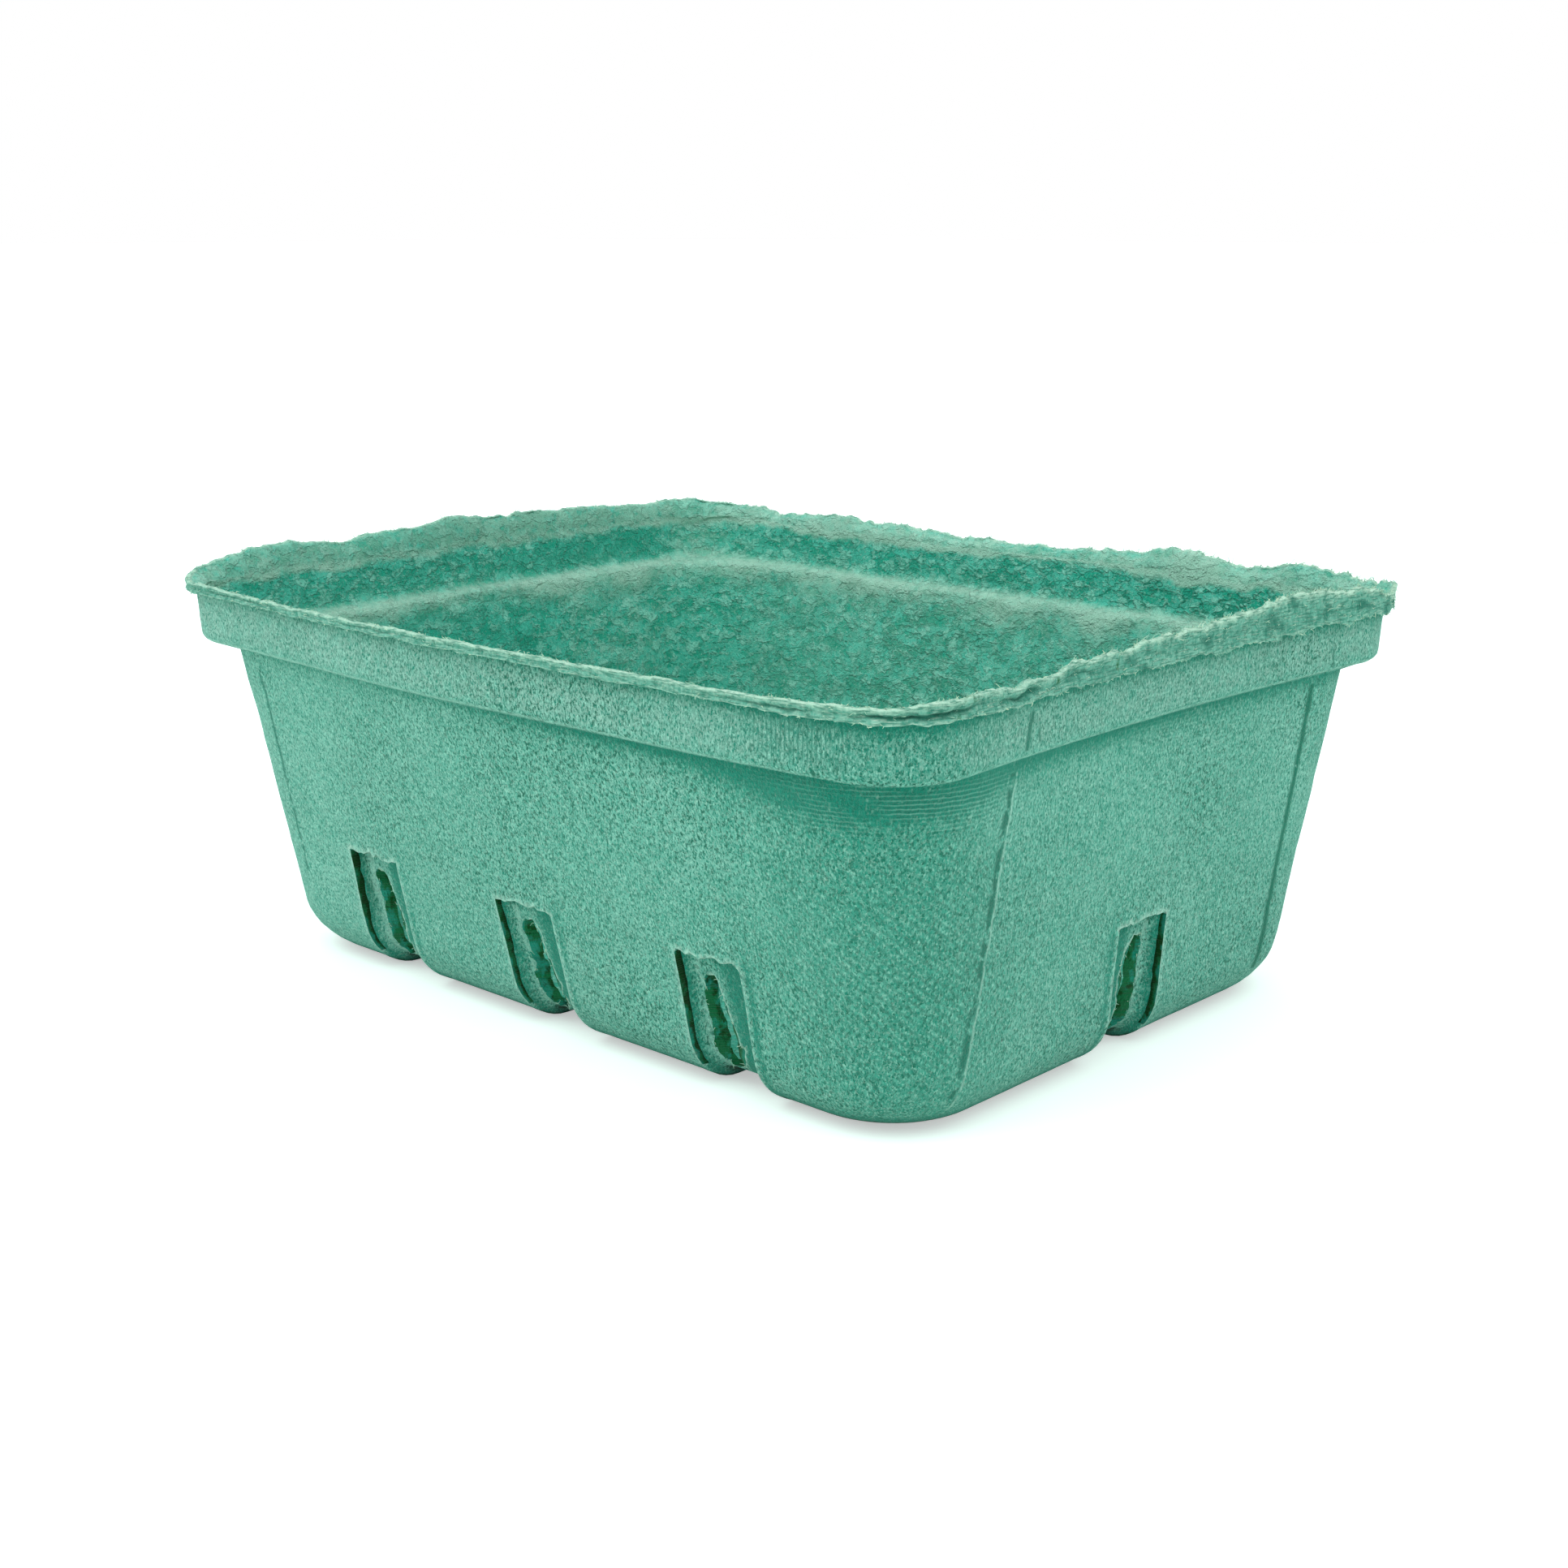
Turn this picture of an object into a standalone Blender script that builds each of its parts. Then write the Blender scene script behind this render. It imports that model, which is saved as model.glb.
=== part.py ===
# A berry basket of moulded pulp: one thin shell with tapered walls, a stepped rim band,
# a torn lip, and vent ribs pushed inward that run down the walls and under the floor.
# Metres, +Z up. The long walls face -Y (front) and +Y, the end walls face +X and -X.

import math

import bmesh
import bpy

# Body. The base sizes are those of the walls carried straight down to the table.
body_length = 0.2000
body_width = 0.1573
base_length = 0.1832
base_width = 0.1320
ledge_height = 0.0697
pulp_thickness = 0.0018
floor_fillet = 0.0110
body_corner_radius = 0.0225
base_corner_radius = 0.0190
floor_corner_radius = 0.0145

# How far the middle of each wall dried out of line, outward where positive.
front_bow = 0.0035
right_bow = -0.0025
back_bow = 0.0005
left_bow = 0.0020

# Rim: the ledge steps out to a band, and the lip turns out above the band.
ledge_width = 0.0035
ledge_slope = 0.0008
ledge_rounding = 0.0020
band_height = 0.0115
band_flare = 0.0004
band_corner_radius = 0.0155
lip_width = 0.0020
lip_slope = 0.0005
lip_thickness = 0.0015
lip_rounding = 0.0007

# The torn edge of the lip stands this high over the band, times a share at even steps
# round the rim, which start where the front wall's straight run starts on the left.
lip_height = 0.0040
lip_height_shares = (
    0.65, 0.58, 0.57, 0.56, 0.58, 0.60, 0.60, 0.60, 0.65, 0.75, 1.00, 0.97,
    1.15, 1.35, 1.55, 1.75, 1.65, 0.85, 1.00, 1.05, 1.15, 0.83, 0.50, 0.53,
    0.75, 0.85, 0.68, 0.90, 1.30, 1.25, 1.60, 1.55, 1.65, 1.35, 1.38, 0.80,
)

# Vents: a rib with a flat crest. A slot runs down the crest, and a slit along each edge.
vent_top = 0.0290
vent_width = 0.0163
vent_crest_width = 0.0130
vent_depth_top = 0.0030
vent_depth_low = 0.0040
vent_spacing = 0.0493
long_wall_vent_count = 3
end_wall_vent_count = 1
channel_height = 0.0020
channel_fillet = 0.0080
slot_width = 0.0036
slot_top_margin = 0.0040
slot_bottom = 0.0042
slit_width = 0.0011
slit_depth = 0.0010
slit_top_margin = 0.0015
cut_overrun = 0.0010

# Facets
long_side_steps = 20
short_side_steps = 16
corner_steps = 6
fillet_steps = 4
slit_levels = 5
rounding_steps = 2

pulp_colour = (0.150, 0.430, 0.315, 1.0)
pulp_roughness = 0.95

# Across a vent, from edge to edge: clear of the wall, then down on the crest
recess_depth_shares = (-0.5, 1.0, 1.0, -0.5)

sides = ("front", "right", "back", "left")
bows = dict(front=front_bow, right=right_bow, back=back_bow, left=left_bow)


def mix(low, high, share):
    return low + (high - low) * share


def opposite(side):
    return sides[(sides.index(side) + 2) % len(sides)]


def half_sizes(height):
    """Half length and half width of the plain tapered body at a height."""
    share = height / ledge_height
    half_length = mix(base_length, body_length, share) / 2
    half_width = mix(base_width, body_width, share) / 2
    return half_length, half_width


def side_halves(side, half_x, half_y):
    """Half size along a side, and distance out to it."""
    return (half_x, half_y) if side in ("front", "back") else (half_y, half_x)


def place(side, along, reach, height):
    """A point given along a side and out from the middle, as seen facing that side."""
    turned = dict(front=(along, -reach), right=(reach, along), back=(-along, reach), left=(-reach, -along))
    x, y = turned[side]

    # The wall that bows out further would carry the middle of the whole size off the origin
    x += (max(left_bow, 0) - max(right_bow, 0)) / 2
    y += (max(front_bow, 0) - max(back_bow, 0)) / 2
    return x, y, height


def outline(half_x, half_y, radius, bow_share, height):
    """One level of the basket: bowed sides and round corners."""
    points = []
    for side in sides:
        half_along, half_reach = side_halves(side, half_x, half_y)
        straight = half_along - radius
        steps = long_side_steps if side in ("front", "back") else short_side_steps
        for step in range(steps):
            share = mix(-1, 1, step / steps)
            bow = bows[side] * bow_share * (1 - share ** 2)
            points.append(place(side, straight * share, half_reach + bow, height))
        for step in range(corner_steps):
            turn = math.pi / 2 * step / corner_steps
            along = straight + radius * math.sin(turn)
            reach = half_reach - radius + radius * math.cos(turn)
            points.append(place(side, along, reach, height))
    return points


def body_level(height, inset, offset, fillet):
    """An outline of the tapered body, drawn in by the fillet and moved out by an offset."""
    share = height / ledge_height
    half_x, half_y = half_sizes(height)
    radius = mix(base_corner_radius, body_corner_radius, share)
    radius = mix(radius, floor_corner_radius, inset / fillet)
    move = offset - inset
    return outline(half_x + move, half_y + move, radius + offset, share, height)


def band_level(height, offset):
    """An outline of the rim band, which flares a little on its way up."""
    share = (height - ledge_height) / band_height
    move = ledge_width + band_flare * share + offset
    radius = band_corner_radius + offset
    return outline(body_length / 2 + move, body_width / 2 + move, radius, 1, height)


def fillet_levels(floor_height, fillet, offset):
    """Outlines round the fillet between the floor and the walls, from the floor up."""
    levels = []
    for step in range(fillet_steps + 1):
        turn = math.pi / 2 * step / fillet_steps
        height = floor_height + fillet * (1 - math.cos(turn))
        levels.append(body_level(height, fillet * (1 - math.sin(turn)), offset, fillet))
    return levels


def ragged(level, drop):
    """A level lifted point by point to the height of the torn edge, less a drop."""
    lengths = [0]
    for start, end in zip(level, level[1:] + level[:1]):
        lengths.append(lengths[-1] + math.dist(start, end))
    count = len(lip_height_shares)
    lifted = []
    for (x, y, height), length in zip(level, lengths):
        place_round = length / lengths[-1] * count
        index = int(place_round)
        ease = (1 - math.cos(math.pi * (place_round - index))) / 2
        share = mix(lip_height_shares[index % count], lip_height_shares[(index + 1) % count], ease)
        lifted.append((x, y, height + lip_height * share - drop))
    return lifted


def loft(name, levels, collection):
    """A closed solid through levels that have the same number of points."""
    mesh = bpy.data.meshes.new(name)
    solid = bpy.data.objects.new(name, mesh)
    collection.objects.link(solid)
    shape = bmesh.new()
    rows = [[shape.verts.new(point) for point in level] for level in levels]
    for low, high in zip(rows, rows[1:]):
        for index, corner in enumerate(low):
            following = (index + 1) % len(low)
            shape.faces.new((corner, low[following], high[following], high[index]))
    shape.faces.new(reversed(rows[0]))
    shape.faces.new(rows[-1])
    bmesh.ops.recalc_face_normals(shape, faces=shape.faces)
    shape.to_mesh(mesh)
    shape.free()
    return solid


def guide(solid):
    """Marks a solid that only shapes the basket."""
    solid.hide_render = True
    solid.display_type = "WIRE"
    return solid


def combine(target, tool, operation):
    modifier = target.modifiers.new(f"{operation.lower()} {tool.name}", "BOOLEAN")
    modifier.operation = operation

    # The exact solver leaves open edges where a slit's end meets the fillet
    modifier.solver = "MANIFOLD"
    modifier.object = tool


def shell_levels():
    """The whole wall as one closed run of levels: up the outside, over the lip, down the inside."""
    band_top = ledge_height + band_height
    levels = fillet_levels(0, floor_fillet, 0)
    levels.append(body_level(ledge_height, 0, 0, floor_fillet))

    # Ledge and its rounded outer edge
    round_centre = ledge_height + ledge_slope + ledge_rounding
    for step in range(rounding_steps + 1):
        turn = math.pi / 2 * step / rounding_steps
        inset = ledge_rounding * (1 - math.sin(turn))
        levels.append(band_level(round_centre - ledge_rounding * math.cos(turn), -inset))
    levels.append(band_level(band_top, 0))

    # Lip: out under the edge, up its torn side and over
    lip_level = band_level(band_top, lip_width)
    levels.append([(x, y, height + lip_slope) for x, y, height in lip_level])
    levels.append(ragged(lip_level, lip_rounding))
    levels.append(ragged(band_level(band_top, lip_width - lip_rounding), 0))
    levels.append(ragged(band_level(band_top, lip_width - lip_thickness), lip_rounding))

    # Inside of the band, the ledge and the body
    inner_ledge = ledge_height + pulp_thickness
    levels.append(band_level(band_top, -pulp_thickness))
    levels.append(band_level(inner_ledge + ledge_slope + ledge_rounding / 2, -pulp_thickness))
    levels.append(band_level(inner_ledge + ledge_slope, -pulp_thickness - ledge_rounding / 2))
    levels.append(body_level(ledge_height, 0, -pulp_thickness, floor_fillet))
    levels.extend(reversed(fillet_levels(pulp_thickness, floor_fillet - pulp_thickness, -pulp_thickness)))
    return levels


def wall_reach(side, along, height):
    """How far the plain outside wall stands from the middle, at a place along it."""
    half_along, half_reach = side_halves(side, *half_sizes(height))
    share = height / ledge_height
    straight = half_along - mix(base_corner_radius, body_corner_radius, share)
    return half_reach + bows[side] * share * (1 - (along / straight) ** 2)


def fillet_inset(height):
    """How far the fillet draws the outside wall in at a height."""
    rise = max(0, 1 - height / floor_fillet)
    return floor_fillet * (1 - math.sqrt(1 - rise ** 2))


def recess_path(side, along, depth_share, grow):
    """The rib's crest line down one wall, as reach and height, from its top to the channel."""
    top = vent_top + grow
    fillet = mix(floor_fillet, channel_fillet, depth_share) - grow
    ceiling = channel_height * depth_share + grow
    path = [(wall_reach(side, along, top) - vent_depth_top * depth_share - grow, top)]
    for step in range(fillet_steps, -1, -1):
        turn = math.pi / 2 * step / fillet_steps
        height = ceiling + fillet * (1 - math.cos(turn))
        inset = fillet * (1 - math.sin(turn)) + vent_depth_low * depth_share + grow
        path.append((wall_reach(side, along, height) - inset, height))
    return path


def channel(name, side, station, grow, collection):
    """What lies outside a rib that runs down one wall, under the floor and up the other."""
    far_reach = max(body_length, base_length, body_width, base_width) / 2 + max(bows.values()) + cut_overrun
    levels = []
    for sign, depth_share in zip((-1, -1, 1, 1), recess_depth_shares):
        half_span = mix(vent_width, vent_crest_width, depth_share) / 2 + grow
        along = station + sign * half_span
        near = [place(side, along, *point) for point in recess_path(side, along, depth_share, grow)]
        far_side = opposite(side)
        far = [place(far_side, -along, *point) for point in recess_path(far_side, -along, depth_share, grow)]
        top = vent_top + grow
        closing = [
            place(far_side, -along, far_reach, top),
            place(far_side, -along, far_reach, -floor_fillet),
            place(side, along, far_reach, -floor_fillet),
            place(side, along, far_reach, top),
        ]
        levels.append(near + far[::-1] + closing)
    return guide(loft(name, levels, collection))


def crest_slot(name, side, station, collection):
    """The slot down the middle of a rib's crest."""
    levels = []
    for height in (slot_bottom, vent_top - slot_top_margin):
        reach = wall_reach(side, station, height)
        inner = reach - vent_depth_low - pulp_thickness - channel_fillet
        outer = reach + cut_overrun
        left = station - slot_width / 2
        right = station + slot_width / 2
        corners = ((left, inner), (right, inner), (right, outer), (left, outer))
        levels.append([place(side, *corner, height) for corner in corners])
    return guide(loft(name, levels, collection))


def edge_slit(name, side, station, sign, collection):
    """The slit where a rib's flank has torn from the wall, cut on the slant through the corner."""
    edge = station + sign * vent_width / 2
    slant = math.sqrt(0.5)
    start = -cut_overrun
    end = 2 * pulp_thickness
    levels = []
    for step in range(slit_levels):
        share = (step / (slit_levels - 1)) ** 2
        height = mix(slot_bottom, vent_top - slit_top_margin, share)
        reach = wall_reach(side, edge, height) - fillet_inset(height) - slit_depth
        corners = []
        for run, width in ((start, -slit_width), (end, -slit_width), (end, slit_width), (start, slit_width)):
            along = edge + slant * (sign * run + width / 2)
            out = reach + slant * (sign * width / 2 - run)
            corners.append(place(side, along, out, height))
        levels.append(corners)
    return guide(loft(name, levels, collection))


def vent_stations(count):
    return [(index - (count - 1) / 2) * vent_spacing for index in range(count)]


def pulp_material():
    material = bpy.data.materials.new("green_moulded_pulp")
    material.use_nodes = True
    shader = material.node_tree.nodes["Principled BSDF"]
    shader.inputs["Base Color"].default_value = pulp_colour
    shader.inputs["Roughness"].default_value = pulp_roughness
    shader.inputs["Metallic"].default_value = 0
    return material


def main():
    for leftover in list(bpy.data.objects):
        bpy.data.objects.remove(leftover, do_unlink=True)
    basket_parts = bpy.data.collections.new("berry_basket")
    cutters = bpy.data.collections.new("cutters")
    for collection in (basket_parts, cutters):
        bpy.context.scene.collection.children.link(collection)

    basket = loft("pulp_basket", shell_levels(), basket_parts)
    basket.data.materials.append(pulp_material())

    # A core that ends inside the wall's thickness holds the ribs' inner sides
    half_wall = pulp_thickness / 2
    core_levels = fillet_levels(half_wall, floor_fillet - half_wall, -half_wall)
    core_levels.append(body_level(ledge_height - pulp_thickness, 0, -half_wall, floor_fillet))

    runs = [("front", station) for station in vent_stations(long_wall_vent_count)]
    runs += [("right", station) for station in vent_stations(end_wall_vent_count)]
    for number, (side, station) in enumerate(runs, start=1):
        rib = channel(f"rib_{number}", side, station, pulp_thickness, cutters)
        core = guide(loft(f"core_{number}", core_levels, cutters))
        combine(rib, core, "INTERSECT")
        combine(basket, rib, "UNION")
    for number, (side, station) in enumerate(runs, start=1):
        combine(basket, channel(f"channel_{number}", side, station, 0, cutters), "DIFFERENCE")
    for number, (side, station) in enumerate(runs, start=1):
        for face, along in ((side, station), (opposite(side), -station)):
            label = f"{face}_{number}"
            combine(basket, crest_slot(f"slot_{label}", face, along, cutters), "DIFFERENCE")
            for sign, hand in ((-1, "left"), (1, "right")):
                slit = edge_slit(f"slit_{label}_{hand}", face, along, sign, cutters)
                combine(basket, slit, "DIFFERENCE")


main()
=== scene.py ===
# Berry basket of green moulded paper pulp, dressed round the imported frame.
# The sheet is a flat blank that is pressed to shape, as the real one is on its mould.
import math

import bpy
import numpy as np
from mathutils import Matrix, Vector, noise


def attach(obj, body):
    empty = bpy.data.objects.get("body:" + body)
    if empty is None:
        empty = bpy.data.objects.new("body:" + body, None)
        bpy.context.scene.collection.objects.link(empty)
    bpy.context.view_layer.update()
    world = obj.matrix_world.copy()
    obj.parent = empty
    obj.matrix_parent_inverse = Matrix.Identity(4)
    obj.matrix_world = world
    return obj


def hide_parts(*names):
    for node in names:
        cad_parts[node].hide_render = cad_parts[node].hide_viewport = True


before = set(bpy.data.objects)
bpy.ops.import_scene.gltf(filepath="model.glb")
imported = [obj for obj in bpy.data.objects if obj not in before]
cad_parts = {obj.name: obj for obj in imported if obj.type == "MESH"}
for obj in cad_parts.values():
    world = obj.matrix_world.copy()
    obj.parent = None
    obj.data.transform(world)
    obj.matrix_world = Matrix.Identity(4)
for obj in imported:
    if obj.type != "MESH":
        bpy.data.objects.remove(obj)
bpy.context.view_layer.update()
mm = 0.001


def deselectAll():
    if bpy.context.object and bpy.context.object.mode != "OBJECT":
        bpy.ops.object.mode_set(mode="OBJECT")
    bpy.ops.object.select_all(action="DESELECT")


def linear(hexColour):  # sRGB hex to the linear colour that shaders take
    parts = [int(hexColour[i:i + 2], 16) / 255 for i in (1, 3, 5)]
    return [c / 12.92 if c <= 0.04045 else ((c + 0.055) / 1.055) ** 2.4 for c in parts] + [1]


def mix(low, high, share):
    return low + (high - low) * share


def smooth(low, high, value):  # 0 below low, 1 above high, eased between them
    share = np.clip((value - low) / (high - low), 0, 1)
    return share * share * (3 - 2 * share)


def lumps(points, size, seed):  # smooth noise, about -1 to 1, with lumps of that size in mm
    offset = Vector((seed * 17.31, seed * 5.17, seed * 9.73))
    return np.array([noise.noise(Vector(p) / size + offset) for p in points]) * 1.8


# Camera, from a fit of the basket's outline to the photograph
view = {
    "azimuth": 42.81,
    "elevation": 14.36,
    "distance": 476.33 * mm,
    "target": (3.03 * mm, 1.39 * mm, 40.1 * mm),
    "lens": 50.404,
}


def addCamera():
    azimuth = math.radians(view["azimuth"])
    elevation = math.radians(view["elevation"])
    level = math.cos(elevation)
    back = Vector((math.sin(azimuth) * level, -math.cos(azimuth) * level, math.sin(elevation)))
    camera = bpy.data.objects.new("camera", bpy.data.cameras.new("camera"))
    bpy.context.scene.collection.objects.link(camera)
    camera.location = Vector(view["target"]) + back * view["distance"]
    camera.rotation_mode = "QUATERNION"
    camera.rotation_quaternion = (-back).to_track_quat("-Z", "Y")
    camera.data.lens = view["lens"]
    camera.data.sensor_width = 36
    camera.data.clip_start = 0.01
    camera.data.clip_end = 20
    bpy.context.scene.camera = camera


addCamera()
print("camera placed")


# Basket, in millimetres over the table
basket = {
    "bodyLength": 200.0, "bodyWidth": 157.3,  # plain body at the ledge
    "baseLength": 183.2, "baseWidth": 132.0,  # its walls carried down to the table
    "ledgeHeight": 69.7, "thickness": 1.8, "floorFillet": 11.0,
    "bodyCorner": 22.5, "baseCorner": 19.0, "floorCorner": 14.5,
    "ledgeWidth": 3.5, "ledgeSlope": 0.8, "ledgeRounding": 2.0,
    "bandHeight": 11.5, "bandFlare": 0.4, "bandCorner": 15.5,
    "lipWidth": 2.0, "lipSlope": 0.5, "lipThickness": 1.5, "lipHeight": 4.0,
    "cornerCells": 16, "endCells": 10, "gapCells": 22, "endWallCells": 24,
    "filletRows": 10, "ventRows": 12, "wallRows": 27, "ledgeRows": 2, "roundingRows": 4,
    "bandRows": 6, "undersideRows": 2, "tornRows": 7,
    "wave": 0.30, "outerLumps": 0.05, "innerLumps": 0.40,
}
bows = {"front": 3.5, "right": -2.5, "back": 0.5, "left": 2.0}  # middle of each wall, outward
sides = ("front", "right", "back", "left")

# Height of the torn edge over the band, at even steps round the rim from the front's left end
lipHeightShares = (
    0.65, 0.58, 0.57, 0.56, 0.58, 0.60, 0.60, 0.60, 0.65, 0.75, 1.00, 0.97,
    1.15, 1.35, 1.55, 1.75, 1.65, 0.85, 1.00, 1.05, 1.15, 0.83, 0.50, 0.53,
    0.75, 0.85, 0.68, 0.90, 1.30, 1.25, 1.60, 1.55, 1.65, 1.35, 1.38, 0.80,
)

# What the far walls' torn edge has besides, in mm at even steps of its share of the way round
farEdge = {
    "from": 0.5, "to": 0.9889,
    "heights": (
        0.5, 1.0, 1.4, 0.9, 0.8, 0.0, -0.9, -0.4, -0.2, 0.2, 0.7, 1.4, 1.0, 0.3, 0.2, 0.6, 0.2, 0.5, -0.1,
        0.0, 0.4, 0.2, -0.3, 0.5, 0.7, 0.4, 0.7, 0.2, 0.5, 0.2, 0.4, 0.6, 0.5, -0.2, 0.9, 1.1, 0.7, 0.5,
        0.3, 0.2, 0.1, -0.1, 0.6, 0.7, 0.6, 0.5, 0.3, 0.6, 0.4, 0.1, 0.1, -0.5, -0.4, 0.2, -0.2, 0.4, 0.9,
        0.3, 0.2, -0.4, -0.1, 0.5, 0.4, -0.3, 0.3, 0.5, 0.9, 1.7, 1.3, 0.4, -0.5, -0.4, -0.3, 0.0, 0.1,
        -0.6, -0.6, 0.1, 0.6, 1.1, 0.9, 1.0, 1.5, 1.4, 1.2, 0.9, 0.6, 0.3, 0.0,
    ),
}

vent = {
    "top": 29.0, "roof": 0.4, "width": 16.3, "crestWidth": 13.0, "spacing": 49.3,
    "depthTop": 2.5, "depthLow": 3.7, "channelHeight": 2.0, "channelFillet": 8.0,
    "slitWidth": 0.42, "slitLow": 4.2, "slitHigh": 28.2, "crestCells": 12,
    "slotLow": 4.2, "slotHigh": 25.0, "slotHalf": 2.5, "slotTear": 0.8, "slotTaper": 0.95,
}
# How far each wall's slots were torn beside the middle of their vents, along the wall
slotShift = {"front": -2.5, "right": 2.5, "back": -2.5, "left": 2.5}
stations = {
    "front": (-vent["spacing"], 0, vent["spacing"]), "right": (1.5,),
    "back": (-vent["spacing"], 0, vent["spacing"]), "left": (-1.5,),
}
shiftX = (max(bows["left"], 0) - max(bows["right"], 0)) / 2
shiftY = (max(bows["front"], 0) - max(bows["back"], 0)) / 2
centre = np.array((shiftX, shiftY))


def wallCells(side):  # stops along a wall: cell number, place near the base, share of the straight run
    edge, foot = vent["width"] / 2, vent["crestWidth"] / 2
    last = basket["endCells"] if side in ("front", "back") else basket["endWallCells"]
    stops = [(0, 0, -1)]
    for number, station in enumerate(stations[side]):
        cells = [last if number == 0 else basket["gapCells"], 1, 1, vent["crestCells"], 1, 1]
        places = (-edge, vent["slitWidth"] - edge, -foot, foot, edge - vent["slitWidth"], edge)
        for count, place in zip(cells, places):
            stops.append((stops[-1][0] + count, station + place, 0))
    stops.append((stops[-1][0] + last, 0, 1))
    return np.array(stops, float)


halfCorner = basket["cornerCells"] // 2
cellStops = {side: wallCells(side) for side in sides}
straightCells = {side: int(cellStops[side][-1, 0]) for side in sides}
gridX = straightCells["front"] + 2 * halfCorner
gridY = straightCells["right"] + 2 * halfCorner
roundCells = 2 * (gridX + gridY)


def bodyHalves(height):
    share = np.minimum(height / basket["ledgeHeight"], 1)
    length = mix(basket["baseLength"], basket["bodyLength"], share)
    width = mix(basket["baseWidth"], basket["bodyWidth"], share)
    return length / 2, width / 2


def sectionRows():
    # One row of the sheet each: height and inset outside, the same where a vent is sunk, the same inside
    b, v, wall = basket, vent, basket["thickness"]
    rows, marks = [], {}

    def bend(turn, depth, grow):
        radius = mix(b["floorFillet"], v["channelFillet"], depth) - grow
        height = v["channelHeight"] * depth + grow + radius * (1 - math.cos(turn))
        return height, radius * (1 - math.sin(turn)) + v["depthLow"] * depth + grow

    def add(outer, sunk, inner, innerSunk, corner, innerCorner):
        rows.append((*outer, *sunk, *inner, *innerSunk, corner, innerCorner))

    for step in range(b["filletRows"] + 1):
        turn = math.pi / 2 * step / b["filletRows"]
        corner = mix(mix(b["baseCorner"], b["bodyCorner"], bend(turn, 0, 0)[0] / b["ledgeHeight"]), b["floorCorner"], 1 - math.sin(turn))
        add(bend(turn, 0, 0), bend(turn, 1, 0), bend(turn, 0, wall), bend(turn, 1, wall), corner, corner - wall)
    marks["filletTop"] = len(rows) - 1
    for step in range(1, b["ventRows"] + 1):
        share = step / b["ventRows"]
        height = mix(b["floorFillet"], v["top"] - v["roof"], share)
        low = v["channelHeight"] + v["channelFillet"]
        depth = mix(v["depthLow"], v["depthTop"], share)
        corner = mix(b["baseCorner"], b["bodyCorner"], height / b["ledgeHeight"])
        sunk = (mix(low, v["top"] - v["roof"], share), depth)
        innerSunk = (mix(low, v["top"] - v["roof"] + wall, share), depth + wall)
        add((height, 0), sunk, (height, wall), innerSunk, corner, corner - wall)
    marks["roof"] = len(rows)
    for step in range(b["wallRows"] + 1):
        height = mix(v["top"], b["ledgeHeight"], step / b["wallRows"])
        corner = mix(b["baseCorner"], b["bodyCorner"], height / b["ledgeHeight"])
        lift = wall * (1 - smooth(v["top"], v["top"] + 12, height))
        add((height, 0), (height, 0), (height, wall), (height + lift, wall), corner, corner - wall)
    marks["ledge"] = len(rows) - 1

    # Ledge and its round edge outside, a softer step inside
    innerStep = ((0.9, 1.55), (1.5, 0.9), (1.85, -0.1), (2.2, -0.9), (2.8, -1.45), (3.6, -1.7))
    total = b["ledgeRows"] + b["roundingRows"]
    for step in range(1, total + 1):
        if step <= b["ledgeRows"]:
            share = step / b["ledgeRows"]
            height = b["ledgeHeight"] + b["ledgeSlope"] * share
            out = (b["ledgeWidth"] - b["ledgeRounding"]) * share
            corner = mix(b["bodyCorner"], b["bandCorner"] - b["ledgeRounding"], share)
        else:
            turn = math.pi / 2 * (step - b["ledgeRows"]) / b["roundingRows"]
            inset = b["ledgeRounding"] * (1 - math.sin(turn))
            height = b["ledgeHeight"] + b["ledgeSlope"] + b["ledgeRounding"] * (1 - math.cos(turn))
            out = b["ledgeWidth"] - inset
            corner = b["bandCorner"] - inset
        rise, inner = innerStep[step - 1]
        innerCorner = mix(b["bodyCorner"], b["bandCorner"], step / total) - wall
        inside = (b["ledgeHeight"] + rise, inner)
        add((height, -out), (height, -out), inside, inside, corner, innerCorner)
    marks["band"] = len(rows) - 1

    low, innerLow = rows[-1][0], rows[-1][4]
    high = b["ledgeHeight"] + b["bandHeight"]
    for step in range(1, b["bandRows"] + 1):
        share = step / b["bandRows"]
        out = b["ledgeWidth"] + b["bandFlare"] * share
        outside = (mix(low, high, share), -out)
        inside = (mix(innerLow, high, share), wall - out)
        add(outside, outside, inside, inside, b["bandCorner"], b["bandCorner"] - wall)
    marks["lip"] = len(rows) - 1

    # The lip's rows start level and get the torn edge's height later
    out = b["ledgeWidth"] + b["bandFlare"]
    lipRows = b["undersideRows"] + b["tornRows"]
    for step in range(1, lipRows + 2):
        under = min(step / b["undersideRows"], 1)
        outside = (high + b["lipSlope"] * under, -out - b["lipWidth"] * under)
        share = min(step / lipRows, 1)
        inside = (high, wall - out - (wall + b["lipWidth"] - b["lipThickness"]) * share)
        add(outside, outside, inside, inside, b["bandCorner"] + b["lipWidth"] * under, b["bandCorner"])
    marks["face"] = marks["lip"] + b["undersideRows"]
    marks["top"] = len(rows) - 1
    return np.array(rows), marks


section, marks = sectionRows()


def onWall(side, along, reach):  # a place along a wall and out from the middle, as x and y
    if side == "front":
        return along, -reach
    if side == "right":
        return reach, along
    if side == "back":
        return -along, reach
    return -reach, -along


def ventDepth(away):  # share of the vent's depth: a steep flank that turns softly into the crest
    foot, edge = vent["crestWidth"] / 2, vent["width"] / 2
    return np.interp(abs(away), (foot - 1.1, foot, edge - vent["slitWidth"], edge), (1, 0.88, 0.32, 0))


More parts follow.
